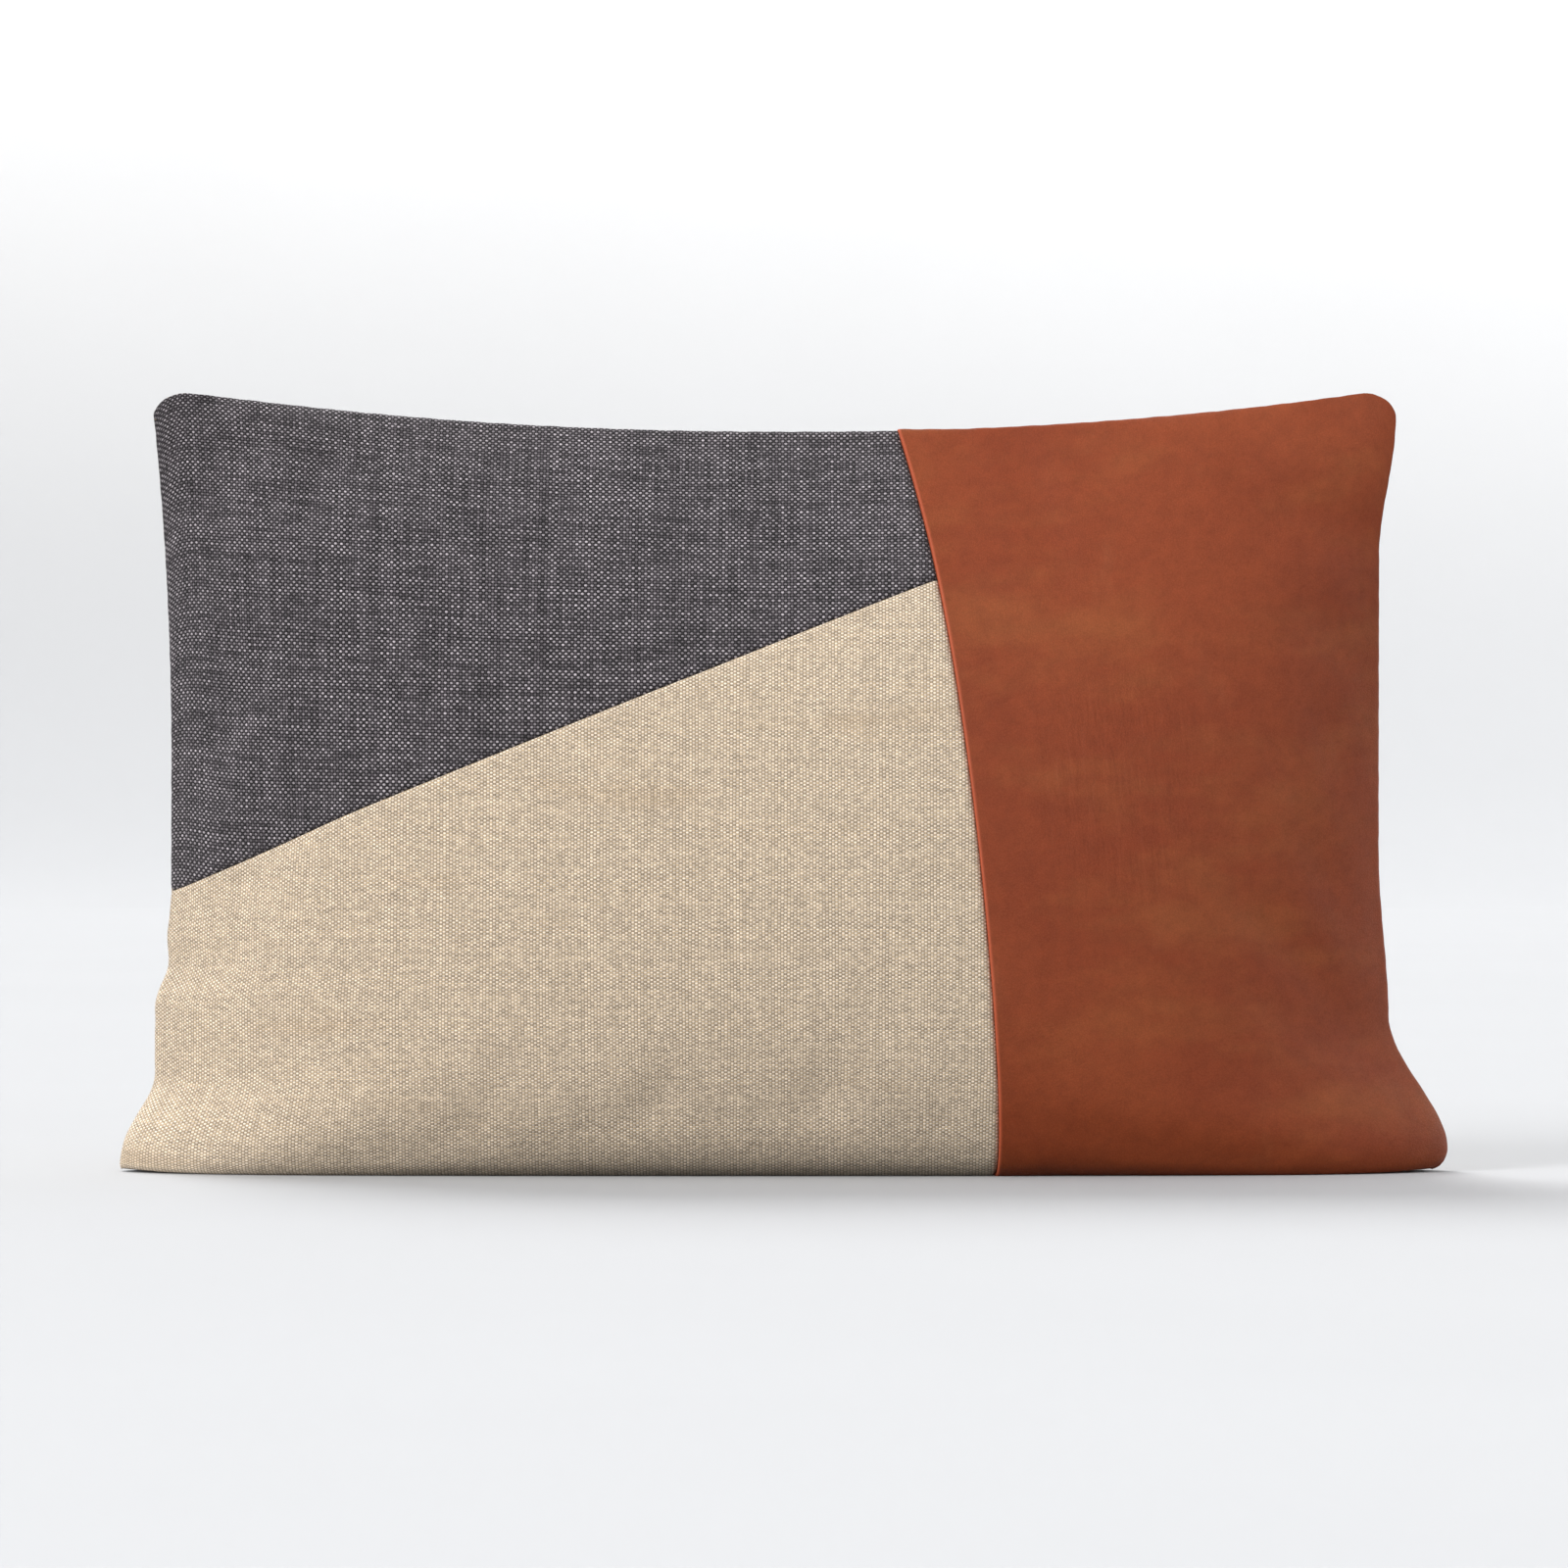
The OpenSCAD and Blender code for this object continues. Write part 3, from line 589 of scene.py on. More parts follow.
class Look:
    """A node material under construction. Its methods add a node and return the output socket."""

    def __init__(self, name, **shader):
        self.material = bpy.data.materials.new(name)
        self.material.use_nodes = True
        self.tree = self.material.node_tree
        self.tree.nodes.clear()
        self.shader = self.tree.nodes.new("ShaderNodeBsdfPrincipled")
        output = self.tree.nodes.new("ShaderNodeOutputMaterial")
        self.tree.links.new(self.shader.outputs[0], output.inputs[0])
        for key, value in shader.items():
            self.shader.inputs[key.replace("_", " ")].default_value = value

    def put(self, node, values):
        """Links or sets a node's inputs. A value of None leaves one as it is."""
        for key, value in values.items():
            if isinstance(value, bpy.types.NodeSocket):
                self.tree.links.new(value, node.inputs[key])
            elif value is not None:
                node.inputs[key].default_value = value

    def node(self, kind, values, output=0, **settings):
        node = self.tree.nodes.new("ShaderNode" + kind)
        for key, value in settings.items():
            setattr(node, key, value)
        self.put(node, values)
        return node.outputs[output]

    def math(self, operation, *values):
        return self.node("Math", dict(enumerate(values)), operation=operation)

    def plus(self, a, b):
        return self.math("ADD", a, b)

    def minus(self, a, b):
        return self.math("SUBTRACT", a, b)

    def times(self, a, b):
        return self.math("MULTIPLY", a, b)

    def attribute(self, name, output="Vector"):
        return self.node("Attribute", {}, output, attribute_name=name)

    def object_place(self):
        return self.node("TexCoord", {}, "Object")

    def split(self, vector):
        return self.node("SeparateXYZ", {0: vector}, slice(None))

    def join(self, x=0.0, y=0.0, z=0.0):
        return self.node("CombineXYZ", {0: x, 1: y, 2: z})

    def noise(self, vector, scale, detail, roughness, stretch=(1, 1, 1)):
        place = self.node("Mapping", {"Vector": vector, "Scale": stretch})
        values = {"Vector": place, "Scale": scale, "Detail": detail, "Roughness": roughness}
        return self.node("TexNoise", values)

    def cells(self, vector, scale):
        return self.node("TexVoronoi", {"Vector": vector, "Scale": scale}, feature="DISTANCE_TO_EDGE")

    def random(self, vector):
        return self.node("TexWhiteNoise", {"Vector": vector}, "Value", noise_dimensions="3D")

    def ramp(self, value, low, high, to_low=0.0, to_high=1.0):
        limits = {"From Min": low, "From Max": high, "To Min": to_low, "To Max": to_high}
        return self.node("MapRange", {"Value": value, **limits}, interpolation_type="SMOOTHSTEP")

    def blend(self, share, a, b, mode="MIX"):
        return self.node("Mix", {0: share, 6: a, 7: b}, 2, data_type="RGBA", blend_type=mode)

    def shade(self, colour, amount):
        """The colour times a number."""
        grey = self.node("CombineColor", {0: amount, 1: amount, 2: amount})
        return self.blend(1.0, colour, grey, "MULTIPLY")

    def tone(self, colour, value, dark, light, low=0.3, high=0.7):
        """The colour times dark where a value is low, and times light where it is high."""
        return self.shade(colour, self.ramp(value, low, high, dark, light))

    def bump(self, height, distance, strength, below=None):
        values = {"Height": height, "Distance": distance, "Strength": strength, "Normal": below}
        return self.node("Bump", values)

    def finish(self, colour, roughness=None, normal=None):
        self.put(self.shader, {"Base Color": colour, "Roughness": roughness, "Normal": normal})
        return self.material


def plain_weave(look, s, t, warp_pitch, weft_pitch, wander=0.0):
    """Yarn pattern of a plain weave: numbers of the yarns, which one lies on top, and their height."""
    if wander:
        place = look.join(s, t)
        s = look.plus(s, look.times(look.noise(place, 55, 1, 0.5, (1, 0.25, 1)), wander))
        t = look.plus(t, look.times(look.noise(place, 48, 1, 0.5, (0.25, 1, 1)), wander))
    a, b = look.math("DIVIDE", s, warp_pitch), look.math("DIVIDE", t, weft_pitch)
    i, j = look.math("FLOOR", a), look.math("FLOOR", b)
    cos_a, cos_b = (look.math("COSINE", look.times(look.minus(look.minus(place, yarn), 0.5), math.pi))
                    for place, yarn in ((a, i), (b, j)))
    parity = look.math("FLOORED_MODULO", look.plus(i, j), 2)
    sign = look.minus(1, look.times(parity, 2))
    swell = 0.45
    warp_wave = look.plus(0.55, look.times(look.times(sign, cos_b), swell))
    weft_wave = look.minus(0.55, look.times(look.times(sign, cos_a), swell))
    warp_high = look.times(look.math("POWER", cos_a, 0.5), warp_wave)
    weft_high = look.times(look.math("POWER", cos_b, 0.5), weft_wave)
    warp_on_top = look.ramp(look.minus(warp_high, weft_high), -0.06, 0.06)
    return i, j, warp_on_top, look.math("MAXIMUM", warp_high, weft_high)


def yarn_streaks(look, s, t, i, j, weft, warp, layer, roughness):
    """Noise along each weft and each warp yarn, from its scale along a yarn and its step across."""
    along_weft = look.join(look.times(s, weft[0]), look.times(j, weft[1]))
    along_warp = look.join(look.times(i, warp[0]), look.times(t, warp[1]), layer)
    return look.noise(along_weft, 1, 2, roughness), look.noise(along_warp, 1, 2, roughness)


# ---- materials
def charcoal_weave():
    look = Look("charcoal_weave", Roughness=0.92, Sheen_Weight=0.12, Sheen_Roughness=0.5,
                Specular_IOR_Level=0.25)
    s, t, _ = look.split(look.attribute("cloth"))
    i, j, warp_on_top, relief = plain_weave(look, s, t, 1.16 * MM, 1.12 * MM, 0.9 * MM)
    weft_streak, warp_streak = yarn_streaks(look, s, t, i, j, (46, 7.31), (5.17, 40), 4.0, 0.6)
    fleck = look.random(look.join(i, j, 2.0))
    flecks = look.ramp(fleck, 0.5, 1.0, 0.0, 0.6)
    weft_tone = look.plus(look.ramp(weft_streak, 0.3, 0.7, 0.4, 1.3), flecks)
    thick_warp = look.random(look.join(i, 0.0, 9.0))
    weft_tone = look.times(weft_tone, look.ramp(thick_warp, 0.0, 1.0, 0.82, 1.18))
    weft = look.shade(linear(160, 153, 157), look.times(weft_tone, 0.68))
    warp = look.tone(linear(56, 51, 55), warp_streak, 0.45, 1.7)
    yarn = look.blend(warp_on_top, weft, warp)
    # Painted shade and highlight: the yarn colour darkens almost to black in the hollows between yarns
    # and lightens on their crowns, following the weave's relief.
    colour = look.tone(yarn, relief, 0.04, 1.2, 0.35, 0.95)
    fibres = look.noise(look.join(s, t), 4200, 3, 0.6)
    height = look.plus(relief, look.times(fibres, 0.25))
    return look.finish(colour, normal=look.bump(height, 0.35 * MM, 0.7))


def canvas():
    look = Look("canvas", Roughness=0.9, Sheen_Weight=0.1, Sheen_Roughness=0.5, Specular_IOR_Level=0.25)
    s, t, _ = look.split(look.attribute("cloth"))
    i, j, warp_on_top, relief = plain_weave(look, s, t, 1.17 * MM, 0.67 * MM, 1.1 * MM)
    place = look.join(s, t)
    weft_streak, warp_streak = yarn_streaks(look, s, t, i, j, (30, 3.7), (4.3, 24), 3.0, 0.55)
    patches = look.noise(place, 26, 3, 0.6, (0.35, 1.4, 1))
    fleck = look.random(look.join(i, j, 5.0))
    warp = look.tone(linear(237, 221, 202), warp_streak, 0.9, 1.08, 0.25, 0.75)
    warp = look.tone(warp, fleck, 0.84, 1.14, 0.0, 1.0)
    weft = look.tone(linear(184, 161, 130), weft_streak, 0.8, 1.16, 0.25, 0.75)
    weft = look.tone(weft, fleck, 0.8, 1.2, 0.0, 1.0)
    yarn = look.blend(warp_on_top, weft, warp)
    yarn = look.blend(look.ramp(patches, 0.55, 0.78, 0.0, 0.35), yarn, linear(180, 153, 119))
    slubs = look.noise(place, 330, 3, 0.65, (0.45, 1.3, 1))
    yarn = look.tone(yarn, slubs, 0.93, 1.07)
    # Painted shade: the yarn colour darkens where the weave's relief is low, in the hollows between
    # yarns.
    colour = look.tone(yarn, relief, 0.5, 1.02, 0.25, 0.95)
    fibres = look.noise(place, 4200, 3, 0.6)
    height = look.plus(relief, look.times(fibres, 0.2))
    return look.finish(colour, normal=look.bump(height, 0.3 * MM, 0.6))


def near_line(look, value, middle, full, none):
    """1 within a distance of a middle value, fading to 0."""
    return look.ramp(look.math("ABSOLUTE", look.minus(value, middle)), full, none, 1.0, 0.0)


def leather():
    look = Look("leather", Specular_IOR_Level=0.22)
    place = look.attribute("cloth")
    clouds = look.noise(place, 9, 4, 0.55)
    broad = look.noise(place, 4, 2, 0.5)
    scuffs = look.noise(place, 30, 4, 0.6, (1, 0.4, 1))
    colour = look.blend(look.ramp(clouds, 0.32, 0.68), linear(125, 54, 26), linear(137, 65, 34))
    colour = look.blend(look.ramp(broad, 0.38, 0.66, 0.0, 0.4), colour, linear(130, 55, 26))
    colour = look.blend(look.ramp(scuffs, 0.58, 0.8, 0.0, 0.3), colour, linear(156, 94, 60))
    ochre = look.noise(place, 15, 4, 0.6, (0.6, 1.5, 1))
    colour = look.blend(look.ramp(ochre, 0.45, 0.7, 0.0, 0.45), colour, linear(148, 84, 44))
    colour = look.tone(colour, look.noise(place, 130, 5, 0.7), 0.92, 1.08)
    pores = look.cells(place, 1100)
    creases = look.cells(place, 620)
    fine = look.noise(place, 2600, 3, 0.6)
    colour = look.tone(colour, pores, 0.86, 1.0, 0.0, 0.16)
    # Painted highlight: a lighter orange-red band within about 1.5 mm of the leather's cut edge.
    edge = look.ramp(look.attribute("cut_gap", "Fac"), 0.2 * MM, 1.5 * MM, 0.75, 0.0)
    colour = look.blend(edge, colour, linear(178, 84, 55))
    grain = look.plus(look.ramp(pores, 0.0, 0.22, 0.0, 0.55), look.ramp(creases, 0.0, 0.14, 0.0, 0.45))
    grain = look.plus(grain, look.times(fine, 0.35))
    s, t, _ = look.split(place)
    slanted = look.join(look.plus(s, look.times(t, 0.12)), look.times(t, 0.16))
    folds = look.noise(slanted, 230, 2, 0.5)
    here = look.times(near_line(look, s, 0.125, 0.012, 0.05), near_line(look, t, 0.185, 0.02, 0.06))
    wrinkles = look.times(look.ramp(folds, 0.35, 0.62), here)
    normal = look.bump(grain, 0.12 * MM, 0.5, look.bump(wrinkles, 0.35 * MM, 0.5))
    rough = look.plus(look.ramp(clouds, 0.3, 0.7, 0.5, 0.6), look.ramp(pores, 0.0, 0.2, 0.12, 0.0))
    return look.finish(colour, rough, normal)


def spun_thread(name, rgb):
    look = Look(name, Roughness=0.75, Sheen_Weight=0.1, Sheen_Roughness=0.5)
    place = look.attribute("along")
    x, y, _ = look.split(place)
    strands = look.math("SINE", look.times(look.plus(x, look.times(y, 0.35 * MM)), 5200))
    fuzz = look.noise(place, 5000, 2, 0.6)
    # Painted shade: the thread darkens in the grooves between its twisted strands.
    tone = look.plus(look.ramp(strands, -1, 1, 0.7, 1.05), look.times(fuzz, 0.1))
    return look.finish(look.shade(linear(*rgb), tone), normal=look.bump(strands, 0.06 * MM, 0.6))


def ribbed_tape():
    look = Look("zip_tape_cloth", Roughness=0.85, Sheen_Weight=0.15, Sheen_Roughness=0.5)
    x, y, z = look.split(look.object_place())
    i, _, _, relief = plain_weave(look, look.plus(y, z), x, 0.45 * MM, 0.6 * MM)
    streak = look.noise(look.join(look.times(i, 3.1), look.times(x, 60)), 1, 2, 0.5)
    colour = look.tone(linear(198, 184, 160), streak, 0.85, 1.08)
    # Painted shade: the tape darkens in the hollows between its yarns.
    colour = look.tone(colour, relief, 0.6, 1.05, 0.2, 0.95)
    return look.finish(colour, normal=look.bump(relief, 0.15 * MM, 0.8))


def coil_plastic():
    look = Look("zip_coil_plastic", Roughness=0.38, Specular_IOR_Level=0.5, Coat_Weight=0.1)
    cloud = look.noise(look.object_place(), 700, 2, 0.5)
    colour = look.blend(look.ramp(cloud, 0.3, 0.7), linear(178, 164, 140), linear(200, 188, 164))
    return look.finish(colour, look.ramp(cloud, 0.3, 0.7, 0.32, 0.46))


def zip_metal():
    look = Look("zip_metal", Metallic=1.0)
    place = look.object_place()
    brushed = look.noise(place, 900, 3, 0.6, (0.12, 1, 1))
    worn = look.noise(place, 260, 3, 0.6)
    colour = look.blend(look.ramp(worn, 0.35, 0.7), linear(168, 166, 160), linear(202, 200, 194))
    rough = look.plus(look.ramp(brushed, 0.3, 0.7, 0.26, 0.42), look.ramp(worn, 0.5, 0.75, 0.0, 0.1))
    return look.finish(colour, rough, look.bump(brushed, 0.03 * MM, 0.5))


def satin_label():
    look = Look("label_satin", Roughness=0.5, Sheen_Weight=0.2, Sheen_Roughness=0.3)
    x, y, _ = look.split(look.object_place())
    ribs = look.math("SINE", look.times(x, 2 * math.pi / (0.35 * MM)))
    cloud = look.noise(look.join(x, y), 300, 2, 0.5)
    colour = look.tone(linear(236, 233, 226), cloud, 0.95, 1.02)
    return look.finish(colour, normal=look.bump(ribs, 0.05 * MM, 0.5))


def lining_cloth():
    look = Look("casing_cloth", Roughness=0.9, Sheen_Weight=0.1, Sheen_Roughness=0.6)
    s, t, _ = look.split(look.attribute("cloth"))
    *_, relief = plain_weave(look, s, t, 0.55 * MM, 0.55 * MM)
    # Painted shade: the casing cloth darkens in the hollows between its yarns.
    colour = look.tone(linear(238, 238, 235), relief, 0.8, 1.02, 0.2, 0.95)
    return look.finish(colour, normal=look.bump(relief, 0.1 * MM, 0.6))


def fluffy_fibre():
    look = Look("fibre_fill", Roughness=1.0, Sheen_Weight=0.3, Sheen_Roughness=0.7)
    place = look.object_place()
    strands = look.noise(place, 420, 6, 0.75, (0.3, 1, 0.5))
    tufts = look.noise(place, 60, 4, 0.6)
    # Painted shade: the fill darkens where its tufts dip, following the same noise that bumps them.
    colour = look.tone(linear(244, 244, 242), tufts, 0.86, 1.02)
    return look.finish(colour, normal=look.bump(strands, 0.8 * MM, 0.6, look.bump(tufts, 3 * MM, 0.5)))


CHARCOAL, CANVAS, LEATHER = charcoal_weave(), canvas(), leather()
TAN_THREAD = spun_thread("thread_tan", (206, 192, 168))
DARK_THREAD = spun_thread("thread_dark", (64, 62, 66))
BROWN_THREAD = spun_thread("thread_brown", (120, 62, 40))
WHITE_THREAD = spun_thread("thread_white", (232, 232, 228))


def add(piece, slot_name, *replaced):
    """Puts a finished piece on the pillow and hides the CAD nodes it stands for. slot_name is not used.
    """
    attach(piece, "pillow")
    if replaced:
        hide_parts(*replaced)


# ---- cover
def make_cover():
    panels = (
        ("cover_charcoal", charcoal_uv(), FRONT, ("rim", "under", "sewn", "rim"), CHARCOAL,
         "charcoal_weave", "front_panel_charcoal"),
        ("cover_canvas", canvas_uv(), FRONT, ("rim", "under", "lip", "sewn"), CANVAS,
         "canvas", "front_panel_canvas"),
        ("cover_leather", leather_uv(), FRONT, ("cut", "rim", "lip", "rim"), LEATHER,
         "leather", "front_panel_leather"),
        ("cover_back", back_uv(), BACK, ("rim", "rim", "lip", "rim"), CANVAS, "canvas", "back_panel"),
    )
    for *shape, slot_name, node in panels:
        piece = make_panel(*shape)
        add(piece, slot_name, node)


# ---- stitches
INTO_CLOTH = np.array([0.0, 1.0, 0.0])
SEWING_R = 0.3 * MM
RUN_POINTS = 7  # points along each stitch
PATH_STEPS = 12  # points of a seam's path for each stitch


def resampled(path, count):
    """The path at even distances, and its length."""
    length = lengths_along(path)
    places = np.linspace(0, length[-1], count)
    return np.stack([np.interp(places, length, path[:, k]) for k in range(3)], -1), length[-1]


def add_thread(name, runs, radius, material, *replaced, sides=6, slot_name="thread"):
    """Adds a mesh of many short thread lengths, each a tapered tube along its own run of points."""
    verts, faces, places = [], [], []
    angles = np.arange(sides) * 2 * math.pi / sides
    for run in runs:
        along = unit(np.gradient(run, axis=0))
        across = unit(np.cross(along, INTO_CLOTH))
        over = np.cross(along, across)
        share = np.linspace(0, 1, len(run))
        girth = radius * np.sqrt(np.maximum(0.08, 1 - np.abs(2 * share - 1) ** 6))
        ring = np.cos(angles)[:, None] * across[:, None] + np.sin(angles)[:, None] * over[:, None]
        ids = len(verts) + np.arange(len(run) * sides).reshape(-1, sides)
        faces += ring_quads(ids).tolist() + [ids[0].tolist(), ids[-1, ::-1].tolist()]
        verts.extend((run[:, None] + ring * girth[:, None, None]).reshape(-1, 3).tolist())
        places.extend((far, angle, 0) for far in lengths_along(run) for angle in angles)
    add(build(name, verts, faces, material, [("along", places)]), slot_name, *replaced)


def stitches(path, pitch, length, dip, down=INTO_CLOTH):
    """Runs of single stitches along a path. Each end dips into the cloth along down."""
    count = int(resampled(path, 3)[1] / pitch)
    fine, _ = resampled(path, count * PATH_STEPS + 1)
    sunk = dip * np.abs(np.linspace(-1, 1, RUN_POINTS)) ** 3
    span = 1 + int(PATH_STEPS * length / pitch)
    starts = range(0, count * PATH_STEPS, PATH_STEPS)
    return [resampled(fine[k: k + span], RUN_POINTS)[0] + np.outer(sunk, down) for k in starts]


def seam_path(inset, u, v):
    """Points inside the side and top seams, moved in towards the middle by an inset."""
    p = surface(u, v, FRONT)
    side = np.abs(u) > 0.9999
    p[..., 0] -= np.where(side, np.sign(u) * inset, 0)
    p[..., 2] -= np.where(side, 0, inset)
    return p


def perimeter_paths(inset, v_from, v_to, u_end, count=60):
    """Paths beside the left, the right and the top seam."""
    rise, across = np.linspace(v_from, v_to, count), np.linspace(-u_end, u_end, 2 * count)
    sides = [seam_path(inset, np.full(count, u), rise) for u in (-1.0, 1.0)]
    return [*sides, seam_path(inset, across, np.ones(2 * count))]


def perimeter_stitches(paths, pitch, length, dip):
    return [run for path in paths for run in stitches(path, pitch, length, dip)]


def make_seam_threads():
    depth = 3.0 * MM
    u = np.linspace(-0.93, JOIN_U - 0.02, 60)
    v = np.linspace(V_FOOT * 1.9, 0.94, 80)
    for word, u, v, pitch, length, material in (
            ("diagonal", u, diagonal_v(u), 3 * MM, 2.6 * MM, DARK_THREAD),
            ("leather", leather_u(v), v, 3.2 * MM, 2.8 * MM, BROWN_THREAD)):
        runs = stitches(surface(u, v, FRONT) - depth * normals(u, v, FRONT), pitch, length, 0.3 * MM)
        add_thread("stitches_" + word, runs, SEWING_R, material, word + "_seam_thread")
    runs = perimeter_stitches(perimeter_paths(3.4 * MM, 0.16, 0.985, 0.93), 3 * MM, 2.6 * MM, 0.2 * MM)
    add_thread("stitches_perimeter", runs, SEWING_R, TAN_THREAD, "perimeter_seam_thread")


def overlock(path_near, path_far, pitch):
    """A zigzag thread wrapped over the edge of two seam allowances."""
    count = int(resampled(path_near, 3)[1] / pitch)
    near, _ = resampled(path_near, 4 * count + 1)
    far, _ = resampled(path_far, 4 * count + 1)
    lift = np.array([0, 1.15 * MM, 0])
    share = np.linspace(0, 1, 5)[:, None]
    runs = []
    for k in range(0, 4 * count, 4):
        a, b, c = near[k], far[k + 1], near[k + 4]
        runs += [mix(a, b, share) - lift, mix(a, b, share) + lift, mix(b, c, share) + lift]
    return runs


def make_allowance():
    """The overlocked allowances that lie inside the side and top seams."""
    verts, faces, runs = [], [], []
    paths = [perimeter_paths(inset, 0.25, 0.88, 0.83, 40) for inset in (6 * MM, 12 * MM)]
    for near, far in zip(*paths):
        ripple = np.outer(0.5 * MM * np.sin(np.arange(len(near)) * 0.9), INTO_CLOTH)
        strip = np.stack([mix(near, far, share) + ripple * share for share in (0.0, 0.33, 0.66, 1.0)])
        faces += (solid_faces(*strip.shape[:2]) + len(verts)).tolist()
        for lift in (-1, 1):
            verts.extend((strip + [0, lift * MM, 0]).reshape(-1, 3).tolist())
        runs += overlock(near, far, 4 * MM)
    place = np.array(verts)[:, [0, 2, 1]] * [1, 1, 0]
    piece = build("seam_allowance", verts, faces, CANVAS, [("cloth", place)], sharp=40)
    add(piece, "canvas", "overlocked_allowance")
    add_thread("stitches_overlock", runs, 0.2 * MM, TAN_THREAD, sides=5)


# ---- zip
def coil_runs(side, count=20):
    """One nylon coil: a flattened helix from the bottom stop to its end in the slider."""
    pitch = 1.5 * MM
    radius = 0.26 * MM
    turns = int((COIL_HIGH.x - COIL_LOW.x - 2 * radius) / pitch)
    angle = np.linspace(0, 2 * math.pi * turns, turns * count + 1)
    shift = 0.0 if side == BACK else 0.49
    x = COIL_LOW.x + radius + pitch * (angle / (2 * math.pi) + shift)
    half_w = (COIL_HIGH.y - 2 * radius + 0.28 * MM) / 2
    middle_y = COIL_HIGH.y - radius - half_w
    half_h = (COIL_HIGH.z - COIL_LOW.z) / 2 - radius
    flat_cos = np.sign(np.cos(angle)) * np.abs(np.cos(angle)) ** 0.7
    y = middle_y - half_w * flat_cos
    z = (COIL_HIGH.z + COIL_LOW.z) / 2 + half_h * np.sin(angle)
    keep = x < COIL_HIGH.x - radius
    return [np.stack([x, side * y, z], -1)[keep]], radius


def make_zip():
    plastic, metal, tape = coil_plastic(), zip_metal(), ribbed_tape()
    for side, word in SIDES:
        runs, radius = coil_runs(side)
        add_thread("coil_" + word, runs, radius, plastic, "zip_coil_" + word, slot_name="zip_coil")
        y, z = side * 1.25 * MM, (COIL_LOW.z + COIL_HIGH.z) / 2
        core, _ = resampled(np.array([[COIL_LOW.x, y, z], [COIL_HIGH.x - MM, y, z]]), 120)
        add_thread("coil_cord_" + word, [core], 0.42 * MM, TAN_THREAD)
        set_material("zip_tape_" + word, tape)
        runs = []
        y = side * (STITCH_LOW.y + STITCH_HIGH.y) / 2
        for z, down in ((STITCH_HIGH.z - 0.1 * MM, -1.0), (STITCH_LOW.z + 0.15 * MM, 1.0)):
            line = np.array([[STITCH_LOW.x, y, z], [STITCH_HIGH.x, y, z]])
            runs += stitches(line, 3 * MM, 2.5 * MM, 0.45 * MM, (0, 0, down))
        add_thread("stitches_zip_" + word, runs, 0.26 * MM, TAN_THREAD, "zip_stitching_" + word)
    for node in ("zip_top_stops", "zip_bottom_stop", "zip_slider_body", "zip_pull_tab"):
        set_material(node, metal)
    make_bartacks()


def make_bartacks(steps=22):
    """Dense zigzag stitches over each end of the zip."""
    low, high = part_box("zip_bartacks")
    z = (low.z + high.z) / 2
    share = np.linspace(0, 1, 5)
    lift = 0.12 * MM * (1 - (2 * share - 1) ** 2)
    runs = []
    for end in (-1, 1):
        turns_x = end * (high.x - 3 * MM), end * high.x
        turns_y = mix(low.y + 0.25 * MM, high.y - 0.25 * MM, np.arange(2 * steps + 1) / (2 * steps))
        for k in range(2 * steps):
            x = mix(turns_x[k % 2], turns_x[(k + 1) % 2], share)
            runs.append(np.stack([x, mix(turns_y[k], turns_y[k + 1], share), z + lift], -1))
    add_thread("stitches_bartack", runs, 0.17 * MM, TAN_THREAD, "zip_bartacks", sides=5)


def set_material(node, material):
    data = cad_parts[node].data
    data.materials.clear()
    data.materials.append(material)


# ---- insert
SEAM_GAP = 0.02 * MM  # half the gap between the insert's two sheets at their seams


def inner_layer(u, v, side, layer, gap, off):
    """A layer of the insert: as drawn near the base, and above it a steady gap inside the cover."""
    drawn = plain_point(u, v, side, layer, off=off, slot=off)
    near_u = u * (WAIST - layer[0]) / WAIST
    near_v = np.where(v < V_FOOT, v, V_FOOT + (v - V_FOOT) * (HEIGHT - layer[0]) / HEIGHT)
    inside = surface(near_u, near_v, side) - gap * normals(near_u, near_v, side)
    edge = bump_curve(u, 16, 0.5) * np.where(v < V_FOOT, 1, bump_curve(v, 16, 0.5))
    inside[..., 1] *= edge
    return mix(drawn, inside, smooth((v - V_FOOT) / 0.14)[..., None])


def inner_grid(count, foot_rows, top_rows):
    """u and v of a layer of the insert, closer together near the side seams."""
    rise = np.concatenate([np.linspace(0, V_FOOT, foot_rows), np.linspace(V_FOOT, 1, top_rows)[1:]])
    return np.meshgrid(np.sin(np.linspace(-1, 1, count) * math.pi / 2), rise, indexing="ij")


def waves(u, v, pitch_u, pitch_v, bend_u, bend_v):
    """Uneven waves over a layer. A pitch is a wave number, and a bend an amount and a wave number."""
    return (np.sin(u * pitch_u + bend_u[0] * np.sin(v * bend_u[1]))
            * np.sin(v * pitch_v + bend_v[0] * np.sin(u * bend_v[1])))


def casing_sheet(side, word, material, thick=0.6 * MM):
    u, v = inner_grid(90, 9, 60)
    at_seam = on_rim(u, v) | (v < 1e-9)
    p = inner_layer(u, v, side, INSERT, CLOTH_T + 2.4 * MM, thick)
    out = grid_normals(p, side)
    crinkle = waves(u, v, 41, 23, (3, 9), (2, 13))
    share = 0.4 * MM * (1 - np.maximum(np.abs(u) ** 10, v**10)) * smooth((v - V_FOOT) / 0.1)
    p -= out * (share * (0.5 + 0.5 * crinkle))[..., None]
    p[..., 1] = np.where(at_seam, side * SEAM_GAP, p[..., 1])
    inner = p - out * thick
    inner[at_seam] = p[at_seam]
    inner[..., 1] = side * np.maximum(side * inner[..., 1], SEAM_GAP / 2)
    return solid_sheet("casing_" + word, p, inner, side, material, [("cloth", cloth_place(u, v))])


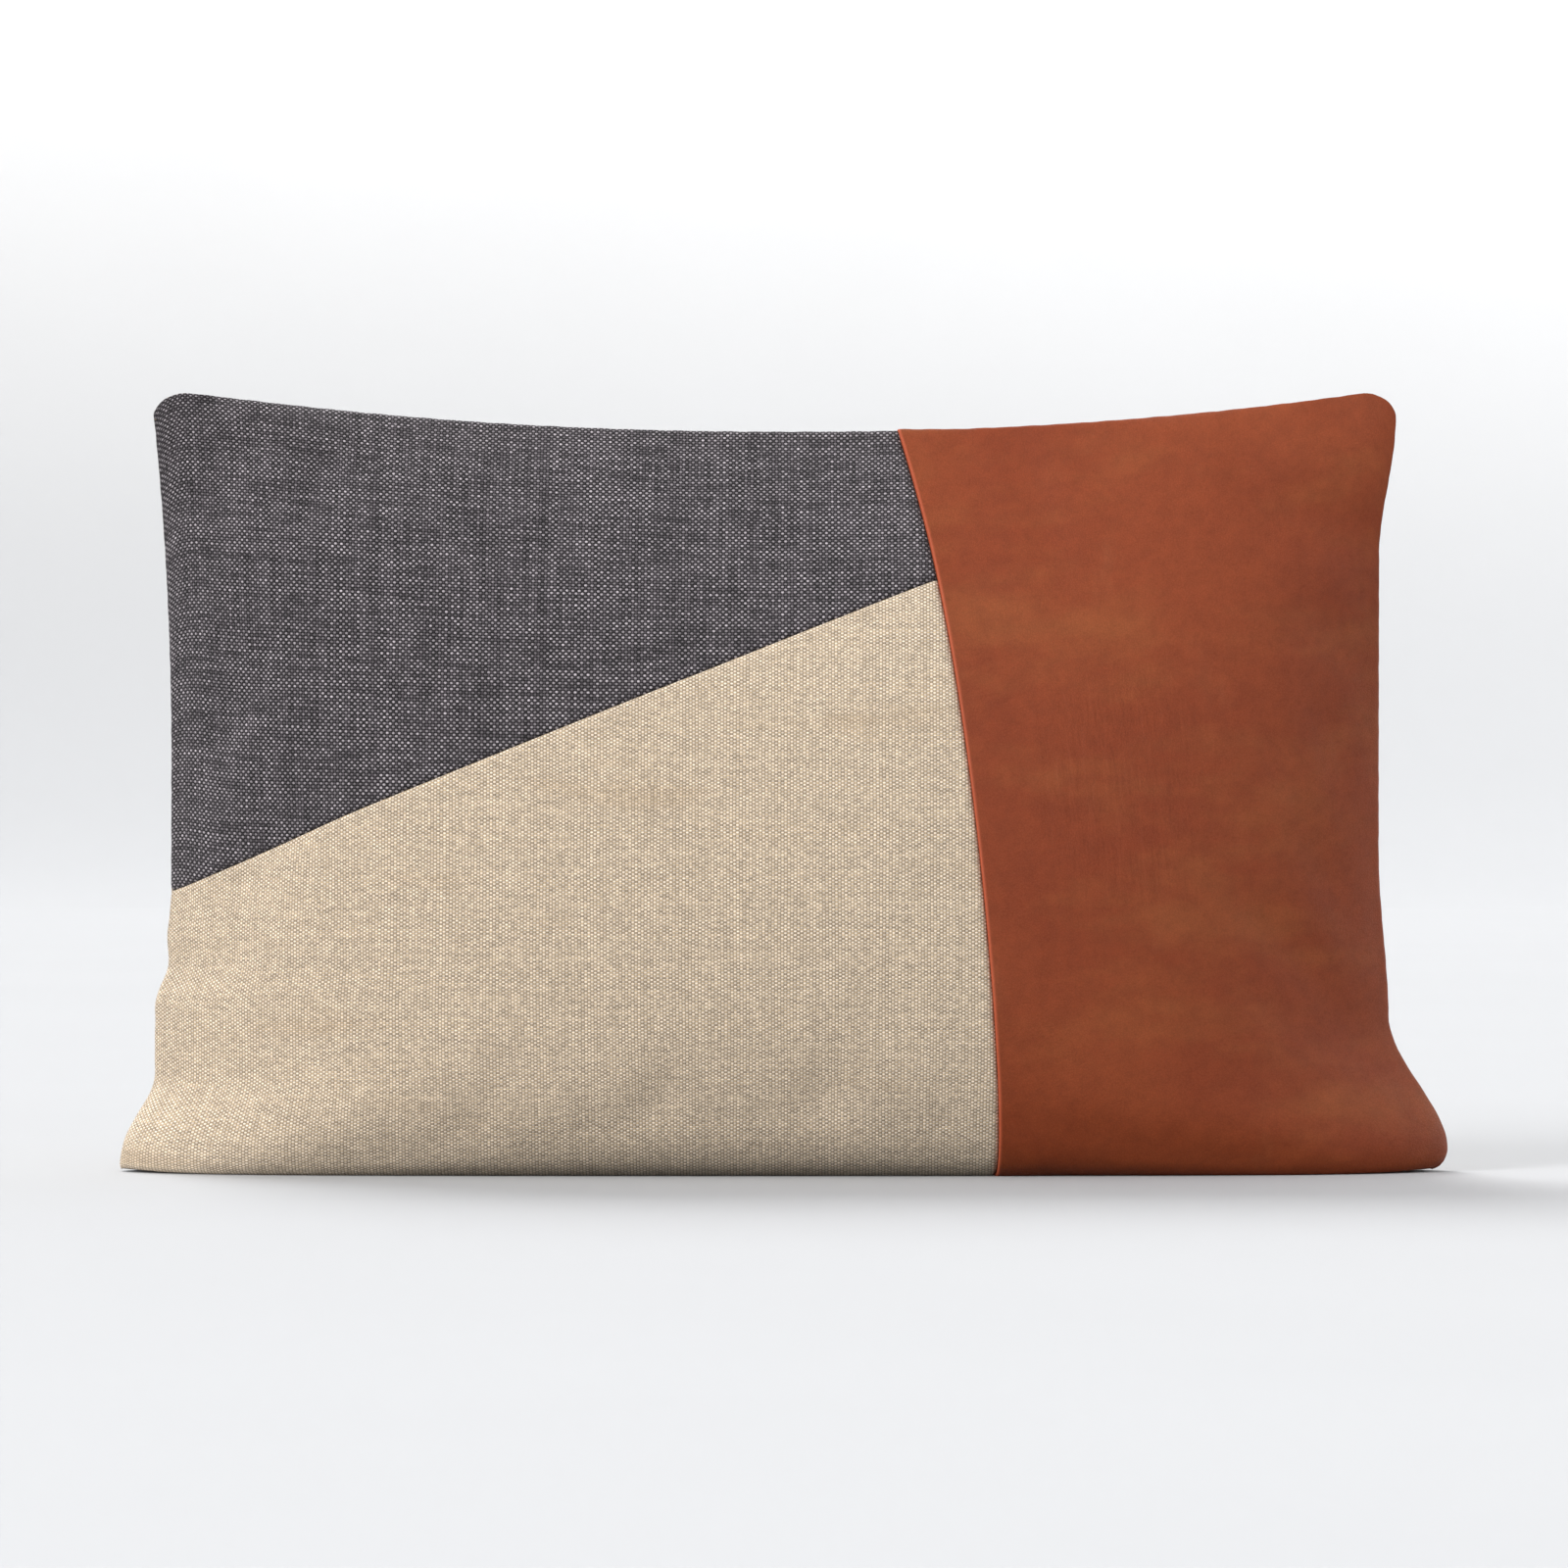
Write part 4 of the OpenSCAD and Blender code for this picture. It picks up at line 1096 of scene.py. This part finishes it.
def fill_sheet(u, v, side):
    """One side of the fibre fill, which is a closed lumpy body inside the casing."""
    p = inner_layer(u, v, side, FILL, CLOTH_T + 4.4 * MM, 0.3 * MM)
    lumps = waves(u, v, 31, 19, (4, 7), (3, 11)) + 0.5 * np.sin(u * 67 + v * 53)
    share = 2.2 * MM * (1 - np.maximum(np.abs(u) ** 10, v**10)) * smooth(v / 0.1)
    p[..., 1] -= side * share * (0.6 + 0.4 * lumps)
    p[..., 1] = np.where(on_rim(u, v), side * SEAM_GAP, p[..., 1])
    return p


def make_insert():
    casing = lining_cloth()
    for side, word in SIDES:
        piece = casing_sheet(side, word, casing)
        add(piece, "casing", "insert_casing_" + word)
    sheets = [fill_sheet(*inner_grid(96, 7, 64), side) for side, _ in SIDES]
    piece = solid_sheet("fibre_fill", *sheets, FRONT, fluffy_fibre())
    add(piece, "fibre_fill", "insert_fibre_fill")
    satin = satin_label()
    for node in ("care_label", "insert_tag"):
        set_material(node, satin)
    runs = perimeter_stitches(perimeter_paths(18 * MM, 0.24, 0.93, 0.84), 3.4 * MM, 2.8 * MM, 0.1 * MM)
    add_thread("stitches_insert", runs, 0.22 * MM, WHITE_THREAD, "insert_seam_thread", sides=5)
    low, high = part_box("insert_closing_stitches")
    z = (low.z + high.z) / 2
    line = np.array([[low.x, 0, z], [high.x, 0, z]])
    slant = np.outer(np.linspace(-0.5, 0.5, RUN_POINTS) * MM, INTO_CLOTH)
    runs = [run + slant for run in stitches(line, 6.8 * MM, 4 * MM, 0.2 * MM, (0, 0, 1.0))]
    add_thread("stitches_closing", runs, 0.24 * MM, WHITE_THREAD, "insert_closing_stitches", sides=5)


make_cover()
make_seam_threads()
make_allowance()
make_zip()
make_insert()


# ---- stage, light and camera
FRAME_WIDTH = 0.5913  # what the picture shows across at the seams
VIEW_CENTRE = (-0.0006, 0.0, 0.146)
VIEW_TILT = math.radians(0.4)
LENS = 220
SENSOR = 36
FLOOR_R, BEND_R, WALL_TOP = 5.0, 1.6, 5.0


def stage_material():
    """Pale grey on the floor, and white from the height where the wall begins."""
    look = Look("stage_paper", Roughness=0.9, Specular_IOR_Level=0.2)
    place = look.object_place()
    level = look.ramp(look.split(place)[2], 0.0, 1.2)
    colour = look.blend(level, linear(176, 177, 179), linear(238, 238, 238))
    return look.finish(look.tone(colour, look.noise(place, 3, 2, 0.5), 0.99, 1.0))


def turned(name, radii, heights, material, sides=96):
    """A sheet turned round the Z axis, part of the stage."""
    turn = np.arange(sides) * 2 * math.pi / sides
    verts = [(r * math.cos(a), r * math.sin(a), z) for r, z in zip(radii, heights) for a in turn]
    ids = np.arange(len(verts)).reshape(len(radii), sides)
    sheet = build(name, verts, ring_quads(ids).tolist(), material)
    return sheet


def make_stage():
    """A pale floor and, far behind every view, a round wall that it bends up into. It lets light in."""
    material = stage_material()
    turned("stage_floor", (0, 0.5, 1.2, 2.6, FLOOR_R), (0,) * 5, material).visible_diffuse = False
    bend = np.linspace(0, math.pi / 2, 17)
    radii = np.append(FLOOR_R + BEND_R * np.sin(bend), FLOOR_R + BEND_R)
    heights = np.append(BEND_R * (1 - np.cos(bend)), WALL_TOP)
    turned("stage_wall", radii, heights, material).visible_shadow = False


def aim(obj, place, target):
    obj.location = place
    obj.rotation_mode = "QUATERNION"
    obj.rotation_quaternion = (Vector(target) - Vector(place)).to_track_quat("-Z", "Y")


def sun(name, place, strength, spread):
    """A far soft light that shines from a place towards the pillow. spread is in degrees."""
    lamp = bpy.data.lights.new(name, "SUN")
    lamp.energy, lamp.angle = strength, math.radians(spread)
    aim(placed(name, lamp), place, (0, 0, 0.14))


def make_sky(above, below):
    """A pale sky over a dimmer ground, so that the pillow darkens where it turns under."""
    world = bpy.data.worlds.new("soft_sky")
    SCENE.world = world
    world.use_nodes = True
    nodes, links = world.node_tree.nodes, world.node_tree.links
    place = nodes.new("ShaderNodeTexCoord")
    parts = nodes.new("ShaderNodeSeparateXYZ")
    level = nodes.new("ShaderNodeMapRange")
    links.new(place.outputs["Generated"], parts.inputs[0])
    links.new(parts.outputs["Z"], level.inputs["Value"])
    for key, value in zip(("From Min", "From Max", "To Min", "To Max"), (-0.3, 0.2, below, above)):
        level.inputs[key].default_value = value
    sky = nodes["Background"]
    links.new(level.outputs[0], sky.inputs["Strength"])
    sky.inputs["Color"].default_value = (1.0, 1.0, 1.0, 1)


def make_camera():
    camera = bpy.data.cameras.new("camera")
    camera.lens, camera.sensor_width = LENS, SENSOR
    found = placed("camera", camera)
    distance = FRAME_WIDTH * LENS / SENSOR
    back, rise = distance * math.cos(VIEW_TILT), distance * math.sin(VIEW_TILT)
    aim(found, (VIEW_CENTRE[0], -back, VIEW_CENTRE[2] + rise), VIEW_CENTRE)
    SCENE.camera = found


make_stage()
sun("key", (-2.2, -1.7, 1.25), 2.7, 30)
sun("back_fill", (-0.9, 2.0, 2.1), 3.0, 30)
make_sky(above=0.83, below=0.03)
make_camera()
SCENE.view_settings.view_transform = "Standard"
